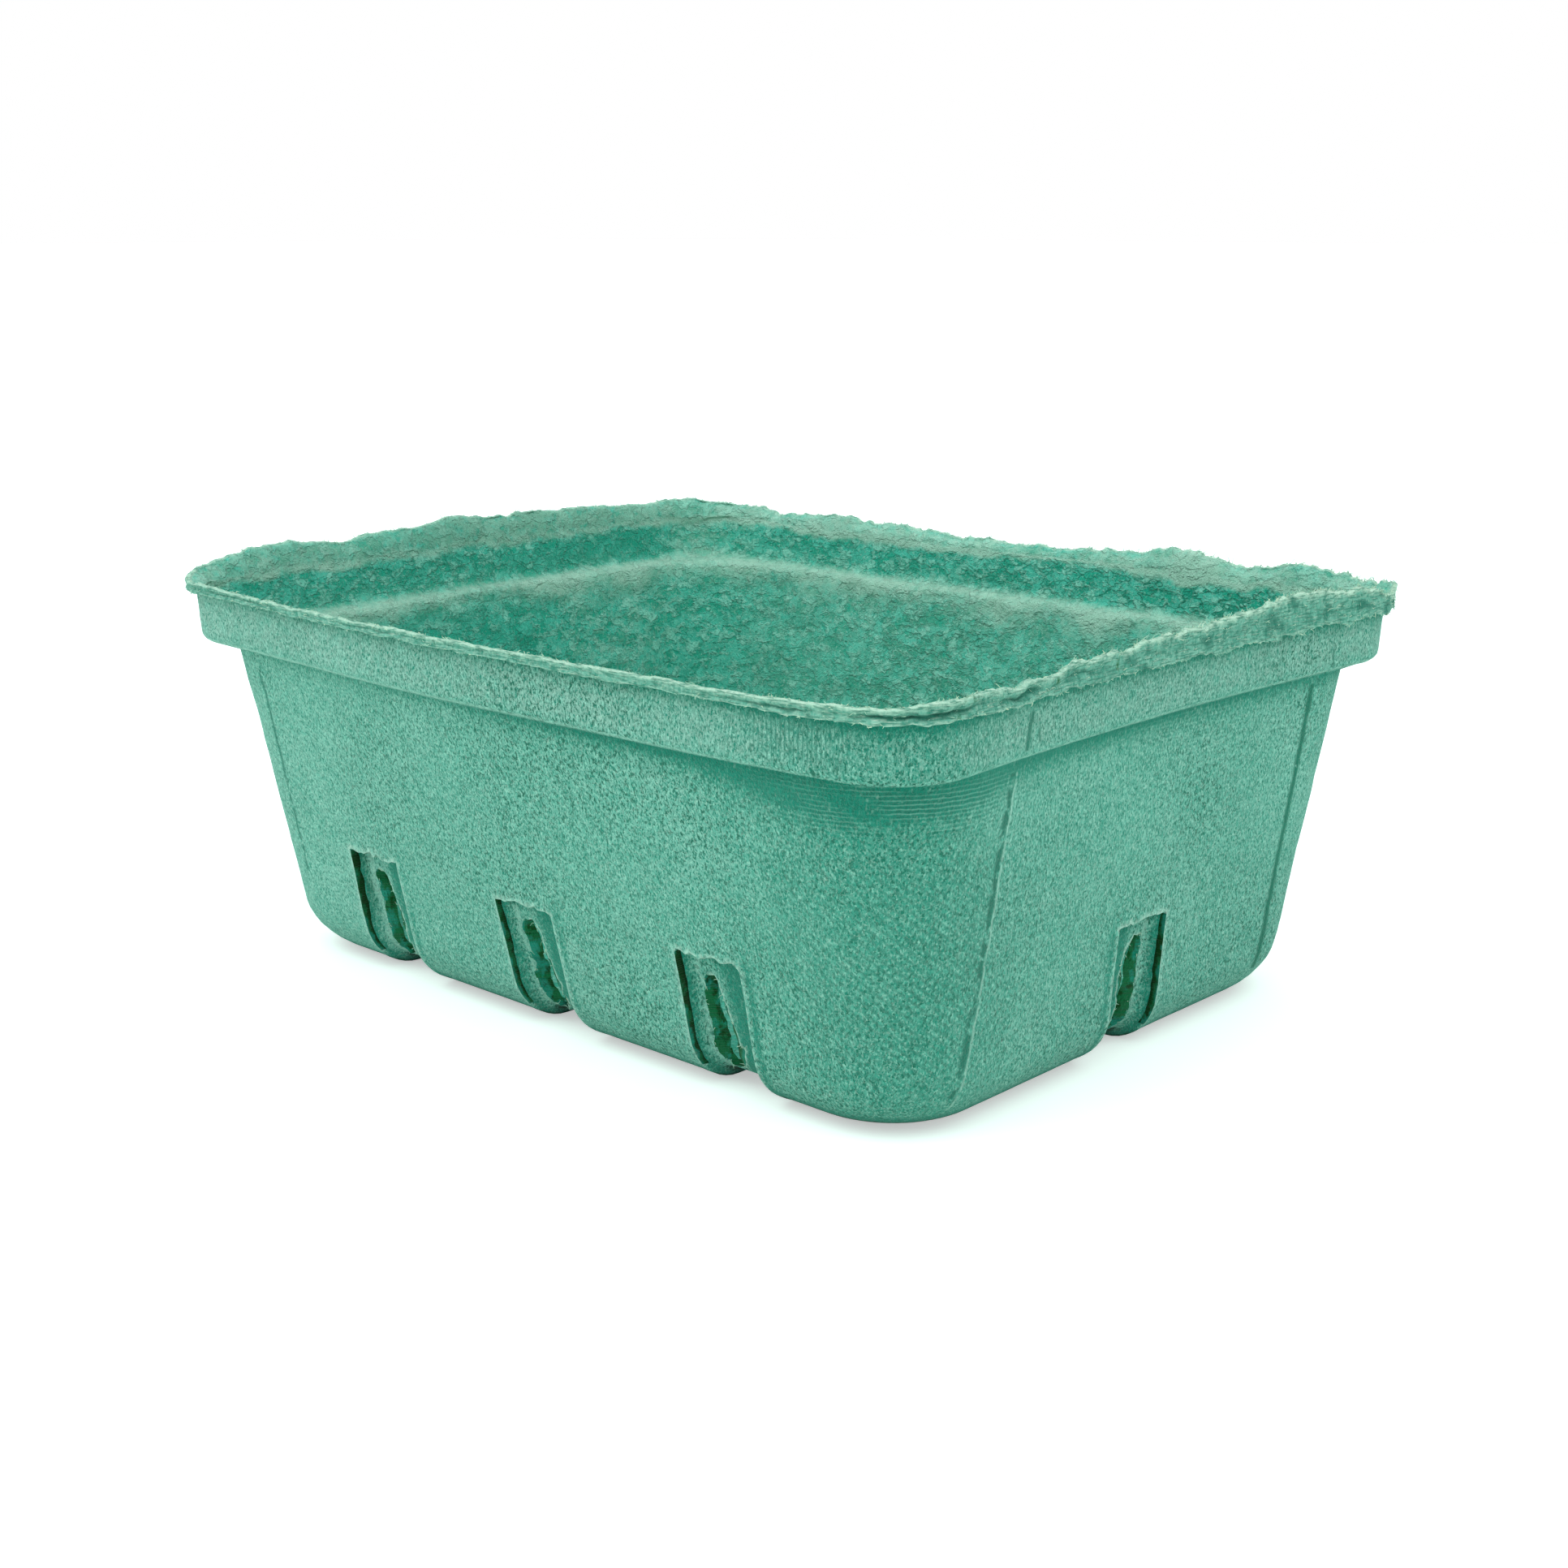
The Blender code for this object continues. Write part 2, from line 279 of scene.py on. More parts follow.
def alongWall(side, cell, row, skin):
    # Place along a side, its distance out, the way it faces and how far a vent sinks it
    stops = cellStops[side]
    half = straightCells[side] / 2
    number = np.arange(len(section))
    columns = [np.interp(row, number, section[:, 4 * skin + field]) for field in range(4)]
    plainHeight, inset, sunkHeight, sunkInset = columns
    corner = np.interp(row, number, section[:, 8 + skin])
    height = plainHeight
    halves = bodyHalves(height)
    halfAlong, halfReach = halves if side in ("front", "back") else halves[::-1]
    straight = halfAlong - inset - corner
    inRun = np.clip(cell, -half, half)
    fixed = np.interp(inRun + half, stops[:, 0], stops[:, 1])
    end = np.interp(inRun + half, stops[:, 0], stops[:, 2])
    low = fixed + end * straight

    # Depth and widening of the nearest vent
    near = min(stations[side], key=abs) + 0 * low
    for station in stations[side]:
        near = np.where(abs(low - station) < abs(low - near), station, near)
    away = low - near
    foot, edge = vent["crestWidth"] / 2, vent["width"] / 2
    depth = ventDepth(away)
    if skin:
        widen = np.clip(abs(away) / foot, 0, 1) * (1 - smooth(edge, edge + 12, abs(away)))
        widen = widen * (1 - smooth(vent["top"], vent["top"] + 12, height))
        low = low + np.sign(away) * widen * basket["thickness"]
    along = mix(low, straight * inRun / half, smooth(31, 58, height))
    bow = bows[side] * np.minimum(height / basket["ledgeHeight"], 1) * (1 - (along / straight) ** 2)
    sunkReach = bodyHalves(sunkHeight)[1 if side in ("front", "back") else 0] - sunkInset
    reach = mix(halfReach - inset, sunkReach, depth) + bow
    height = mix(height, sunkHeight, depth)

    # Round the corners
    turn = (abs(cell) - half) / halfCorner * math.pi / 4
    turn = np.clip(turn, 0, None)
    around = turn > 0
    along = np.where(around, np.sign(cell) * (straight + corner * np.sin(turn)), along)
    reach = np.where(around, halfReach - inset - corner + corner * np.cos(turn), reach)
    height = np.where(around, plainHeight, height)
    facing = np.sign(cell) * turn
    return along, reach, height, facing, np.where(around, 0, depth), np.where(around, 99, away)


def roundTheRim(samples=4):  # cells round the sheet against the length that they have on the lip
    cells = np.arange(roundCells * samples + 1) / samples
    points = wallPoints(*sideOfCell(cells), cells * 0 + marks["top"], 0)[0][:, :2]
    return cells, np.concatenate(([0], np.cumsum(np.linalg.norm(np.diff(points, axis=0), axis=1))))


def sideOfCell(cells):  # side number and cell along it, from the cell count round from the front's left end
    cells = np.asarray(cells, float) % roundCells
    number, along = np.zeros(len(cells), int), np.zeros(len(cells))
    start = -straightCells["front"] / 2
    count = 0
    for index, side in enumerate(sides):
        span = straightCells[side] + 2 * halfCorner
        here = (cells >= count - (halfCorner if index else 0)) & (cells < count + span - halfCorner)
        number[here] = index
        along[here] = cells[here] - count - straightCells[side] / 2
        count += span
    last = cells >= roundCells - halfCorner
    number[last] = 0
    along[last] = cells[last] - roundCells + start
    return number, along


def cellRound(number, along):  # the other way
    count = np.zeros(len(along))
    start = 0
    for index, side in enumerate(sides):
        here = number == index
        count[here] = start + along[here] + straightCells[side] / 2
        start += straightCells[side] + 2 * halfCorner
    return count % roundCells


def wallPoints(number, cell, row, skin):
    # Points, outward directions, vent depths and distances from the vent for rows and cells
    points, out = np.zeros((len(row), 3)), np.zeros((len(row), 3))
    depth, away = np.zeros(len(row)), np.zeros(len(row))
    for index, side in enumerate(sides):
        here = number == index
        if not here.any():
            continue
        along, reach, height, facing, sunk, beside = alongWall(side, cell[here], row[here], skin)
        x, y = onWall(side, along, reach)
        points[here] = np.stack([x + centre[0], y + centre[1], height], 1)
        x, y = onWall(side, np.sin(facing), np.cos(facing))
        out[here] = np.stack([x, y, 0 * x], 1)
        depth[here], away[here] = sunk, beside
    return points, out, depth, away


def floorPoints(i, j, skin):
    # The floor: straight rows of cells under the walls' straight runs, fans in the corners
    points = np.zeros((len(i), 3))
    depth = np.zeros(len(i))
    corner = section[0, 8 + skin]
    inset = section[0, 4 * skin + 1]
    halves = bodyHalves(section[0, 4 * skin])
    beyond = []
    for axis, (side, cell) in enumerate((("front", i), ("right", j))):
        stops = cellStops[side]
        half = straightCells[side] / 2
        straight = halves[axis] - inset - corner
        inRun = np.clip(cell, -half, half)
        low = np.interp(inRun + half, stops[:, 0], stops[:, 1])
        low = low + np.interp(inRun + half, stops[:, 0], stops[:, 2]) * straight
        near = 0 * low
        for station in stations[side]:
            near = np.where(abs(low - station) < abs(low - near), station, near)
        away = low - near
        foot, edge = vent["crestWidth"] / 2, vent["width"] / 2
        depth = np.maximum(depth, ventDepth(away))
        if skin:
            widen = np.clip(abs(away) / foot, 0, 1) * (1 - smooth(edge, edge + 12, abs(away)))
            low = low + np.sign(away) * widen * basket["thickness"]
        points[:, axis] = low
        beyond.append(np.clip((abs(cell) - half) / halfCorner, 0, 1))
    p, q = beyond
    both = np.maximum(p, q)
    angle = np.where(p >= q, q / np.maximum(both, 1e-6), 2 - p / np.maximum(both, 1e-6)) * math.pi / 4
    inCorner = (p > 0) & (q > 0)
    points[:, 0] += np.sign(i) * corner * np.where(inCorner, both * np.cos(angle), p)
    points[:, 1] += np.sign(j) * corner * np.where(inCorner, both * np.sin(angle), q)
    points[:, 2] = section[0, 4 * skin] + vent["channelHeight"] * depth
    points[:, :2] += centre
    return points, depth


# The torn edge at shares of the way round from the front's left end: front, corner, right, back, left
tear = {
    "spike": 1.5, "spikeAt": 0.480,
    "stops": (0.0, 0.20, 0.25, 0.29, 0.34, 0.45, 0.49, 0.53, 0.72, 0.80, 0.95),
    "rough": (0.35, 0.3, 0.5, 0.6, 0.8, 1.1, 1.3, 0.8, 0.6, 0.6, 0.6),  # how ragged
    "plies": (0.45, 0.12, 0.75, 1.2, 0.45, 0.3, 0.2, 0.1, 0.1, 0.2, 0.4),  # how far its two plies stand apart
    "bare": (0.25, 0.42, 0.5, 0.3, 0.15, 0.15, 0.25, 0.3, 0.3, 0.3, 0.25),  # how pale the torn face is
    "plyGap": 1.0, "highest": 88.9, "overhang": 1.0, "fray": 0.20,
}


def tornEdge(points, lengths):
    # Height of the torn edge and how rough it is, at places round the rim
    share = lengths / lengths.max() * len(lipHeightShares)
    index = share.astype(int) % len(lipHeightShares)
    ease = (1 - np.cos(math.pi * (share % 1))) / 2
    heights = np.array(lipHeightShares)
    edge = basket["lipHeight"] * mix(heights[index], heights[(index + 1) % len(heights)], ease)
    way = lengths / lengths.max()
    rough = np.interp(way, tear["stops"], tear["rough"], period=1)
    flat = points * (1, 1, 0)
    fine = 0.4 * lumps(flat, 18, 14) + 0.4 * lumps(flat, 7, 11) + 0.32 * lumps(flat, 2.4, 12)
    far = farEdge["heights"]
    edge = edge + rough * fine + np.interp(way, np.linspace(farEdge["from"], farEdge["to"], len(far)), far, 0, 0)
    high = basket["ledgeHeight"] + basket["bandHeight"] + np.clip(edge, 1.2, None)
    return np.minimum(high, tear["highest"] - 0.3 * abs(fine)), rough


def pressSheet(lattice):
    # From places on the blank to both skins of the basket
    i, j, row = lattice.T
    near = 0.01
    atSide = [j < near - gridY / 2, i > gridX / 2 - near, j > gridY / 2 - near, i < near - gridX / 2]
    number = np.select(atSide, [0, 1, 2, 3], 0)
    wall = (row > near) | np.any(atSide, axis=0)
    cell = np.choose(number, [i, j, -i, -j])
    skins = []
    facts = {}
    for skin in (0, 1):
        points = np.zeros((len(i), 3))
        out = np.zeros((len(i), 3))
        depth, away = np.zeros(len(i)), np.full(len(i), 99.0)
        points[wall], out[wall], depth[wall], away[wall] = wallPoints(number[wall], cell[wall], row[wall], skin)
        points[~wall], depth[~wall] = floorPoints(i[~wall], j[~wall], skin)
        skins.append(points)
        if skin == 0:
            facts = {"out": out, "depth": depth, "away": away, "wall": wall, "row": row, "number": number}
    cells, lengths = roundTheRim()
    facts["round"] = np.interp(cellRound(number, cell), cells, lengths)
    facts["roundTotal"] = lengths[-1]
    return skins[0], skins[1], facts


def latticeOf(points):  # metres on the blank to cells and rows
    return np.round(points / mm * 16) / 16


def verticesOf(piece):
    places = np.empty(len(piece.data.vertices) * 3)
    piece.data.vertices.foreach_get("co", places)
    return places.reshape(-1, 3)


def facesOf(piece):  # middle of each face
    places = np.empty(len(piece.data.polygons) * 3)
    piece.data.polygons.foreach_get("center", places)
    return places.reshape(-1, 3)


def edgesOf(piece):
    ends = np.empty(len(piece.data.edges) * 2, int)
    piece.data.edges.foreach_get("vertices", ends)
    return ends.reshape(-1, 2)


def openFor(piece, kind, flags):  # edit mode with the flagged vertices, edges or polygons selected
    deselectAll()
    bpy.context.view_layer.objects.active = piece
    piece.select_set(True)
    kinds = ("vertices", "edges", "polygons")
    bpy.context.tool_settings.mesh_select_mode = [each == kind for each in kinds]
    for each in kinds:
        elements = getattr(piece.data, each)
        elements.foreach_set("select", flags if each == kind else np.zeros(len(elements), bool))
    bpy.ops.object.mode_set(mode="EDIT")


def slotShape(points, facts):  # middle and half width of the ragged slot, and whether its height is right
    height = points[:, 2]
    shift = np.choose(facts["number"], [slotShift[side] for side in sides])
    middle = shift * mix(0.85, 1.05, smooth(6, 24, height)) + 0.45 * lumps(points, 8, 21)
    ragged = 0.6 * lumps(points, 4, 22) + 0.5 * lumps(points * (0.2, 0.2, 1), 1.6, 23)
    half = mix(1.2, 0.98, smooth(8, 25, height)) * vent["slotHalf"] + vent["slotTear"] * ragged
    ends = smooth(vent["slotLow"] - 0.5, vent["slotLow"] + 2.5, height)
    ends = ends * (1 - smooth(vent["slotHigh"] - 3, vent["slotHigh"] + 0.5, height))
    half = np.minimum(half * (0.35 + 0.65 * ends), vent["crestWidth"] / 2 - abs(middle) - 0.15)
    return middle, half, (height > vent["slotLow"]) & (height < vent["slotHigh"])


def makeBlank():
    deselectAll()
    bpy.ops.mesh.primitive_grid_add(x_subdivisions=gridX, y_subdivisions=gridY, size=1)
    sheet = bpy.context.object
    sheet.name = "pulpBasket"
    bpy.ops.object.mode_set(mode="EDIT")
    bpy.ops.transform.resize(value=(gridX * mm, gridY * mm, 1))
    bpy.context.tool_settings.mesh_select_mode = (False, True, False)
    bpy.ops.mesh.select_all(action="DESELECT")
    bpy.ops.mesh.select_non_manifold()
    for _ in range(marks["top"]):
        bpy.ops.mesh.extrude_region_move(TRANSFORM_OT_translate={"value": (0, 0, mm)})
    bpy.ops.object.mode_set(mode="OBJECT")

    # Twice the cells along the torn edge
    ends = latticeOf(verticesOf(sheet))[edgesOf(sheet)]
    level = abs(ends[:, 0, 2] - ends[:, 1, 2]) < 0.01
    openFor(sheet, "edges", level & (ends[:, 0, 2] > marks["lip"] - 0.5))
    bpy.ops.mesh.subdivide(number_cuts=1)
    bpy.ops.object.mode_set(mode="OBJECT")

    # And round the slots
    middles = facesOf(sheet) / mm
    points, _, facts = pressSheet(middles)
    shift = np.choose(facts["number"], [slotShift[side] for side in sides])
    slotZone = facts["wall"] & (abs(facts["away"] - shift) < 4.6) & (abs(facts["away"]) < 6.5)
    slotZone &= (points[:, 2] > 3) & (points[:, 2] < 27)
    openFor(sheet, "polygons", slotZone)
    bpy.ops.mesh.subdivide(number_cuts=1)
    bpy.ops.object.mode_set(mode="OBJECT")

    # Tear the slots and slits open
    middles = facesOf(sheet) / mm
    points, _, facts = pressSheet(middles)
    middle, half, tall = slotShape(points, facts)
    away = facts["away"]
    slot = facts["wall"] & tall & (abs(away - middle) < half)
    flank = (abs(away) < vent["width"] / 2) & (abs(away) > vent["width"] / 2 - vent["slitWidth"])
    slit = facts["wall"] & flank & (points[:, 2] > vent["slitLow"]) & (points[:, 2] < vent["slitHigh"])
    openFor(sheet, "polygons", slot | slit)
    bpy.ops.mesh.delete(type="FACE")
    bpy.ops.mesh.select_all(action="SELECT")
    bpy.ops.mesh.normals_make_consistent(inside=False)
    bpy.ops.object.mode_set(mode="OBJECT")
    return sheet


def shapeLip(points, inner, facts):
    # The underside, the torn face with its two plies and the slope inside, from the torn edge's height
    row, out = facts["row"], facts["out"]
    lip = row > marks["lip"] + 0.01
    edge, rough = tornEdge(points[lip], facts["round"][lip])
    way = facts["round"][lip] / facts["roundTotal"]
    rim = points[lip] * (1, 1, 0)
    jagged = smooth(0.26, 0.30, way) * (1 - 0.6 * smooth(0.72, 0.78, way))
    edge = edge + (0.35 * lumps(rim, 3.4, 61) + 0.3 * lumps(rim, 1.6, 62)) * jagged
    spike = np.exp(-((way - tear["spikeAt"]) * facts["roundTotal"] / 1.8) ** 2)
    edge = edge + tear["spike"] * spike
    plies = np.interp(way, tear["stops"], tear["plies"], period=1)
    bare = np.interp(way, tear["stops"], tear["bare"], period=1)
    row = row[lip]
    outside, inside = points[lip], inner[lip]
    under = np.clip((row - marks["lip"]) / basket["undersideRows"], 0, 1)
    face = np.clip((row - marks["face"]) / basket["tornRows"], 0, 1)
    slope = np.clip((row - marks["lip"]) / (basket["undersideRows"] + basket["tornRows"]), 0, 1)
    high = basket["ledgeHeight"] + basket["bandHeight"]
    flat = outside * (1, 1, 0)
    ragged = 0.6 * lumps(flat, 7.0, 31) + 0.6 * lumps(flat, 2.6, 30) + 0.3 * lumps(flat, 1.3, 39)
    hang = rough * tear["overhang"] * np.clip(0.35 + ragged, -0.3, 1.3)
    low = high + (basket["lipSlope"] - hang) * under
    level = mix(low, edge - 0.3, face)
    groove = np.exp(-((face - 0.5 - 0.12 * lumps(flat, 9, 32)) / 0.15) ** 2)
    groove = groove * plies * np.clip(0.6 + 0.8 * lumps(flat, 14, 33), 0, 1.2)
    places = np.stack([outside[:, 0], outside[:, 1], level * 1.5], 1)
    fray = tear["fray"] * (0.5 + 0.5 * rough) * lumps(places, 2.0, 34) + 0.25 * lumps(flat, 9, 35)
    push = fray * under - groove * tear["plyGap"] * (face > 0)
    top = row > marks["top"] - 0.01
    push = np.where(top, push - 0.6, push) + 1.2 * spike * face
    outside[:, 2] = np.where(top, edge, level)
    outside += out[lip] * push[:, None]
    inside[:, 2] = np.minimum(inside[:, 2] + (edge - 0.6 - high) * (1 - (1 - slope) ** 1.4), edge - 0.5)
    bump = (0.14 + 0.10 * rough) * lumps(inside, 3.0, 36) * smooth(0, 0.3, slope)
    inside += out[lip] * bump[:, None]
    inside[top, 2] = edge[top] - 0.15
    inside[top] = outside[top] - out[lip][top] * 0.5 - (0, 0, 0.2)
    points[lip], inner[lip] = outside, inside
    facts["pale"][lip] = bare * mix(0.3, 0.8, np.maximum(under * 0.6, face)) + 0.45 * smooth(0.75, 0.97, face)
    facts["pale"][lip] += 0.35 * ((under > 0.9) & (face < 0.1))
    facts["pale"][lip] += 0.5 * (face > 0.9) * smooth(0.6, 1.0, rough)
    patches = np.clip(lumps(places, 4.0, 63), 0, 1) * smooth(0.5, 0.9, rough) * (under > 0.5)
    # Painted shade in the gap between the plies and under the lip, random darker patches on the ragged parts, and
    # painted shade near the top of the slope inside
    facts["tone"][lip] = -1.1 * groove - 0.9 * (1 - under) - 0.8 * patches
    facts["innerPale"][lip] = np.where(top, 0.6, 0)
    facts["innerPaintedLight"][lip] -= 0.25 * smooth(0.6, 0.9, slope)
    facts["lip"], facts["rough"] = lip, rough


# Painted shade and highlight at shares of the way round, as for the tear: under the ledge, on the walls and under the
# lip; and how thick the grain's flecks lie
shades = {
    "stops": (0.0, 0.10, 0.20, 0.25, 0.27, 0.30, 0.40, 0.47, 0.50, 0.75, 0.95),
    "underLedge": (0.15, 0.3, 1.0, 2.4, 2.4, 1.0, 0.6, 0.5, 0.4, 0.3, 0.2),
    "wall": (0.12, 0.03, 0.0, -0.38, -0.42, -0.15, -0.12, -0.10, -0.1, -0.05, 0.05),
    "underLip": (0.4, 0.5, 0.7, 1.4, 1.4, 1.0, 1.3, 1.3, 0.8, 0.5, 0.4),
    "fleck": (0.3, 0.9, 1.0, 1.0, 0.9, 0.7, 0.7, 0.6, 0.7, 0.7, 0.4),
}
# The same inside, painted light and shade: the far corner painted lighter and the left wall beside it painted darker;
# the lip painted lighter or darker by wall, "grey" greys the pulp of the walls below the band, "folds" is how many
# fold lines show
insideShades = {
    "stops": (0.0, 0.30, 0.50, 0.735, 0.750, 0.762, 0.775, 0.788, 0.822, 0.845, 0.885, 0.93, 0.97),
    "band": (-0.2, 0.0, 0.05, 0.0, 0.25, 0.5, 0.35, -0.6, -0.6, -0.25, -0.1, -0.15, -0.3),
    "body": (-0.2, 0.0, 0.1, 0.0, 0.0, 0.0, 0.1, 0.2, 0.15, -0.45, -0.5, -0.3, -0.3),
    "lip": (0.3, 0.3, 0.6, 0.6, 0.5, 0.35, 0.15, 0.0, 0.0, 0.05, 0.1, 0.2, 0.2),
    "grey": (0.1, 0.1, 0.3, 0.3, 0.15, 0.1, 0.05, 0.0, 0.0, 0.0, 0.0, 0.05, 0.1),
    "folds": (0.5, 0.5, 1.0, 0.5, 0.35, 0.3, 0.3, 0.3, 0.4, 0.5, 0.5, 0.5, 0.5),
}


def shadeSheet(points, inner, facts):
    # Painted light and shade, from 1 for a painted highlight down to -1 for painted shade: under the ledge and the
    # lip, in the corners, in and beside the vents and along the foot
    row, away, depth = facts["row"], facts["away"], facts["depth"]
    way = facts["round"] / facts["roundTotal"]
    # Painted shade under the ledge, widest at the near corner, with a darker painted line just under it
    ledgeShade = np.interp(way, shades["stops"], shades["underLedge"], period=1)
    below = basket["ledgeHeight"] - points[:, 2]
    onWallRows = facts["wall"] & (row <= marks["ledge"] + 0.01)
    reach = 2.7 + 3.5 * np.exp(-((way - 0.25) / 0.03) ** 2)
    tone = -ledgeShade * np.exp(-(below / reach) ** 2) * onWallRows
    tone -= 0.8 * ledgeShade * (abs(row - marks["ledge"] - 1) < 1.1)
    # A painted highlight along the rounded edge under the band
    tone += 0.6 * (abs(row - marks["band"] + 2.0) < 0.6)
    # Painted shadow under the lip, and the walls painted lighter or darker as the light falls, darkest at the near
    # corner
    tone -= np.interp(way, shades["stops"], shades["underLip"], period=1) * np.exp(-((marks["lip"] - row) / 0.8) ** 2)
    tone += np.interp(way, shades["stops"], shades["wall"], period=1) * facts["wall"]
    # Painted shade in each vent: over the recess, most on the side away from its slot, under the roof and on the far
    # flank by the slit, with a painted highlight on the crest beside the slot
    towards = np.choose(facts["number"], [np.sign(slotShift[each]) for each in sides])
    tone -= (0.1 + 1.2 * smooth(-0.5, 3, -away * towards)) * (depth > 0.2) * (row < marks["roof"]) * facts["wall"]
    tone -= 0.5 * (abs(row - marks["roof"] + 1) < 0.6) * (depth > 0.2)
    inVent = (depth > 0.2) * (row < marks["roof"])
    tone -= 1.3 * np.exp(-((away * towards - 7.5) / 0.6) ** 2) * inVent
    tone += 0.55 * np.exp(-((away * towards - 5.6 + 0.8 * lumps(points, 6, 59)) / 1.0) ** 2) * inVent
    # Painted shade beside each vent's near edge and along the foot of the walls, a painted highlight on the swollen
    # ridges beside each vent, and painted shade on the floor under the vents
    beside = -away * towards - 9.9 - 0.5 * lumps(points, 7, 58)
    tone -= 0.9 * np.exp(-(beside / 0.6) ** 2) * (1 - smooth(26, 35, points[:, 2])) * facts["wall"]
    tone -= 1.8 * (1 - smooth(1.6, 5.0, points[:, 2])) * (depth < 0.2) * facts["wall"]
    tone += 0.65 * np.exp(-((abs(away) - 8.5) / 0.7) ** 2) * (row < marks["roof"]) * facts["wall"]
    tone -= 0.5 * (~facts["wall"]) * (depth > 0.2)
    facts["tone"] = tone
    facts["worn"] = smooth(marks["band"] - 1, marks["band"] + 0.5, row) * (row < marks["lip"] + 0.5)
    flecks = np.interp(way, shades["stops"], shades["fleck"], period=1)
    facts["fleck"] = np.clip(flecks + 0.45 * lumps(points, 26, 52), 0, 1.2)

    # Inside, painted light: a painted highlight along the inner ledge, painted shade lower down towards the floor,
    # the band painted a little darker, the lip painted lighter or darker by wall with a painted highlight along its
    # foot, and the body and band painted lighter or darker by wall
    rise = row - marks["ledge"]
    uneven = lumps(inner, 14, 56) + 0.5 * lumps(inner, 5, 57)
    innerPaintedLight = (0.85 + 0.2 * uneven) * np.exp(-((rise - 1.6 + 0.9 * uneven) / 3.4) ** 2)
    innerPaintedLight -= 0.30 * (1 - smooth(2, 45, inner[:, 2]))
    band = smooth(3, 6, rise)
    toLip = smooth(marks["lip"] - 0.8, marks["lip"] + 0.4, row + 0.7 * uneven)
    onLip = np.interp(way, insideShades["stops"], insideShades["lip"], period=1)
    innerPaintedLight += band * mix(-0.12, onLip + 0.3 * uneven, toLip)
    innerPaintedLight += 0.65 * np.exp(-((row - marks["lip"] - 0.3 + 0.5 * uneven) / 1.1) ** 2)
    onBand = np.interp(way, insideShades["stops"], insideShades["band"], period=1)
    onBody = np.interp(way, insideShades["stops"], insideShades["body"], period=1)
    offLedge = 1 - 0.8 * np.exp(-((rise - 1.6) / 3.4) ** 2)
    innerPaintedLight += mix(onBody, onBand, band) * (1 - toLip) * offLedge * facts["wall"]
    facts["innerPaintedLight"] = innerPaintedLight
    # Greyer pulp on the inner lip, most on the left wall, and on the walls below the band; and a painted highlight on
    # the inner ledge
    left = smooth(0.74, 0.80, way)
    onLedge = np.exp(-((rise - 1.6 + 0.9 * uneven) / 3.4) ** 2)
    grey = np.interp(way, insideShades["stops"], insideShades["grey"], period=1)
    facts["innerGreyingAndHighlight"] = toLip * mix(0.45, 1.0, left) * (1 - 0.3 * smooth(0.86, 0.9, way))
    facts["innerGreyingAndHighlight"] += mix(0.3, 0.65, left) * onLedge + grey * (1 - toLip) * (1 - band)
    folds = np.interp(way, insideShades["stops"], insideShades["folds"], period=1)
    facts["folds"] = np.clip(folds + 0.3 * lumps(inner, 22, 60), 0, 1.2) * (1 - toLip)

    # The forming mesh shows in patches, most of all round the front right corner
    corner = np.exp(-((way - 0.262) / 0.030) ** 2)
    beside = np.exp(-((way - 0.232) / 0.016) ** 2)
    patch = 0.22 * smooth(0.25, 0.9, lumps(points, 30, 51)) * facts["wall"]
    broken = smooth(-0.7, 0.3, lumps(points * (1, 1, 2), 9, 53))
    facts["levelPrint"] = corner * np.exp(-((below - 4) / 6) ** 2) * (row < marks["ledge"]) * broken + patch
    facts["uprightPrint"] = beside * (row > marks["band"]) * (row < marks["lip"])
    facts["slantPrint"] = 0.8 * corner * smooth(8, 20, below) * (row < marks["ledge"]) * smooth(2, 20, points[:, 2])


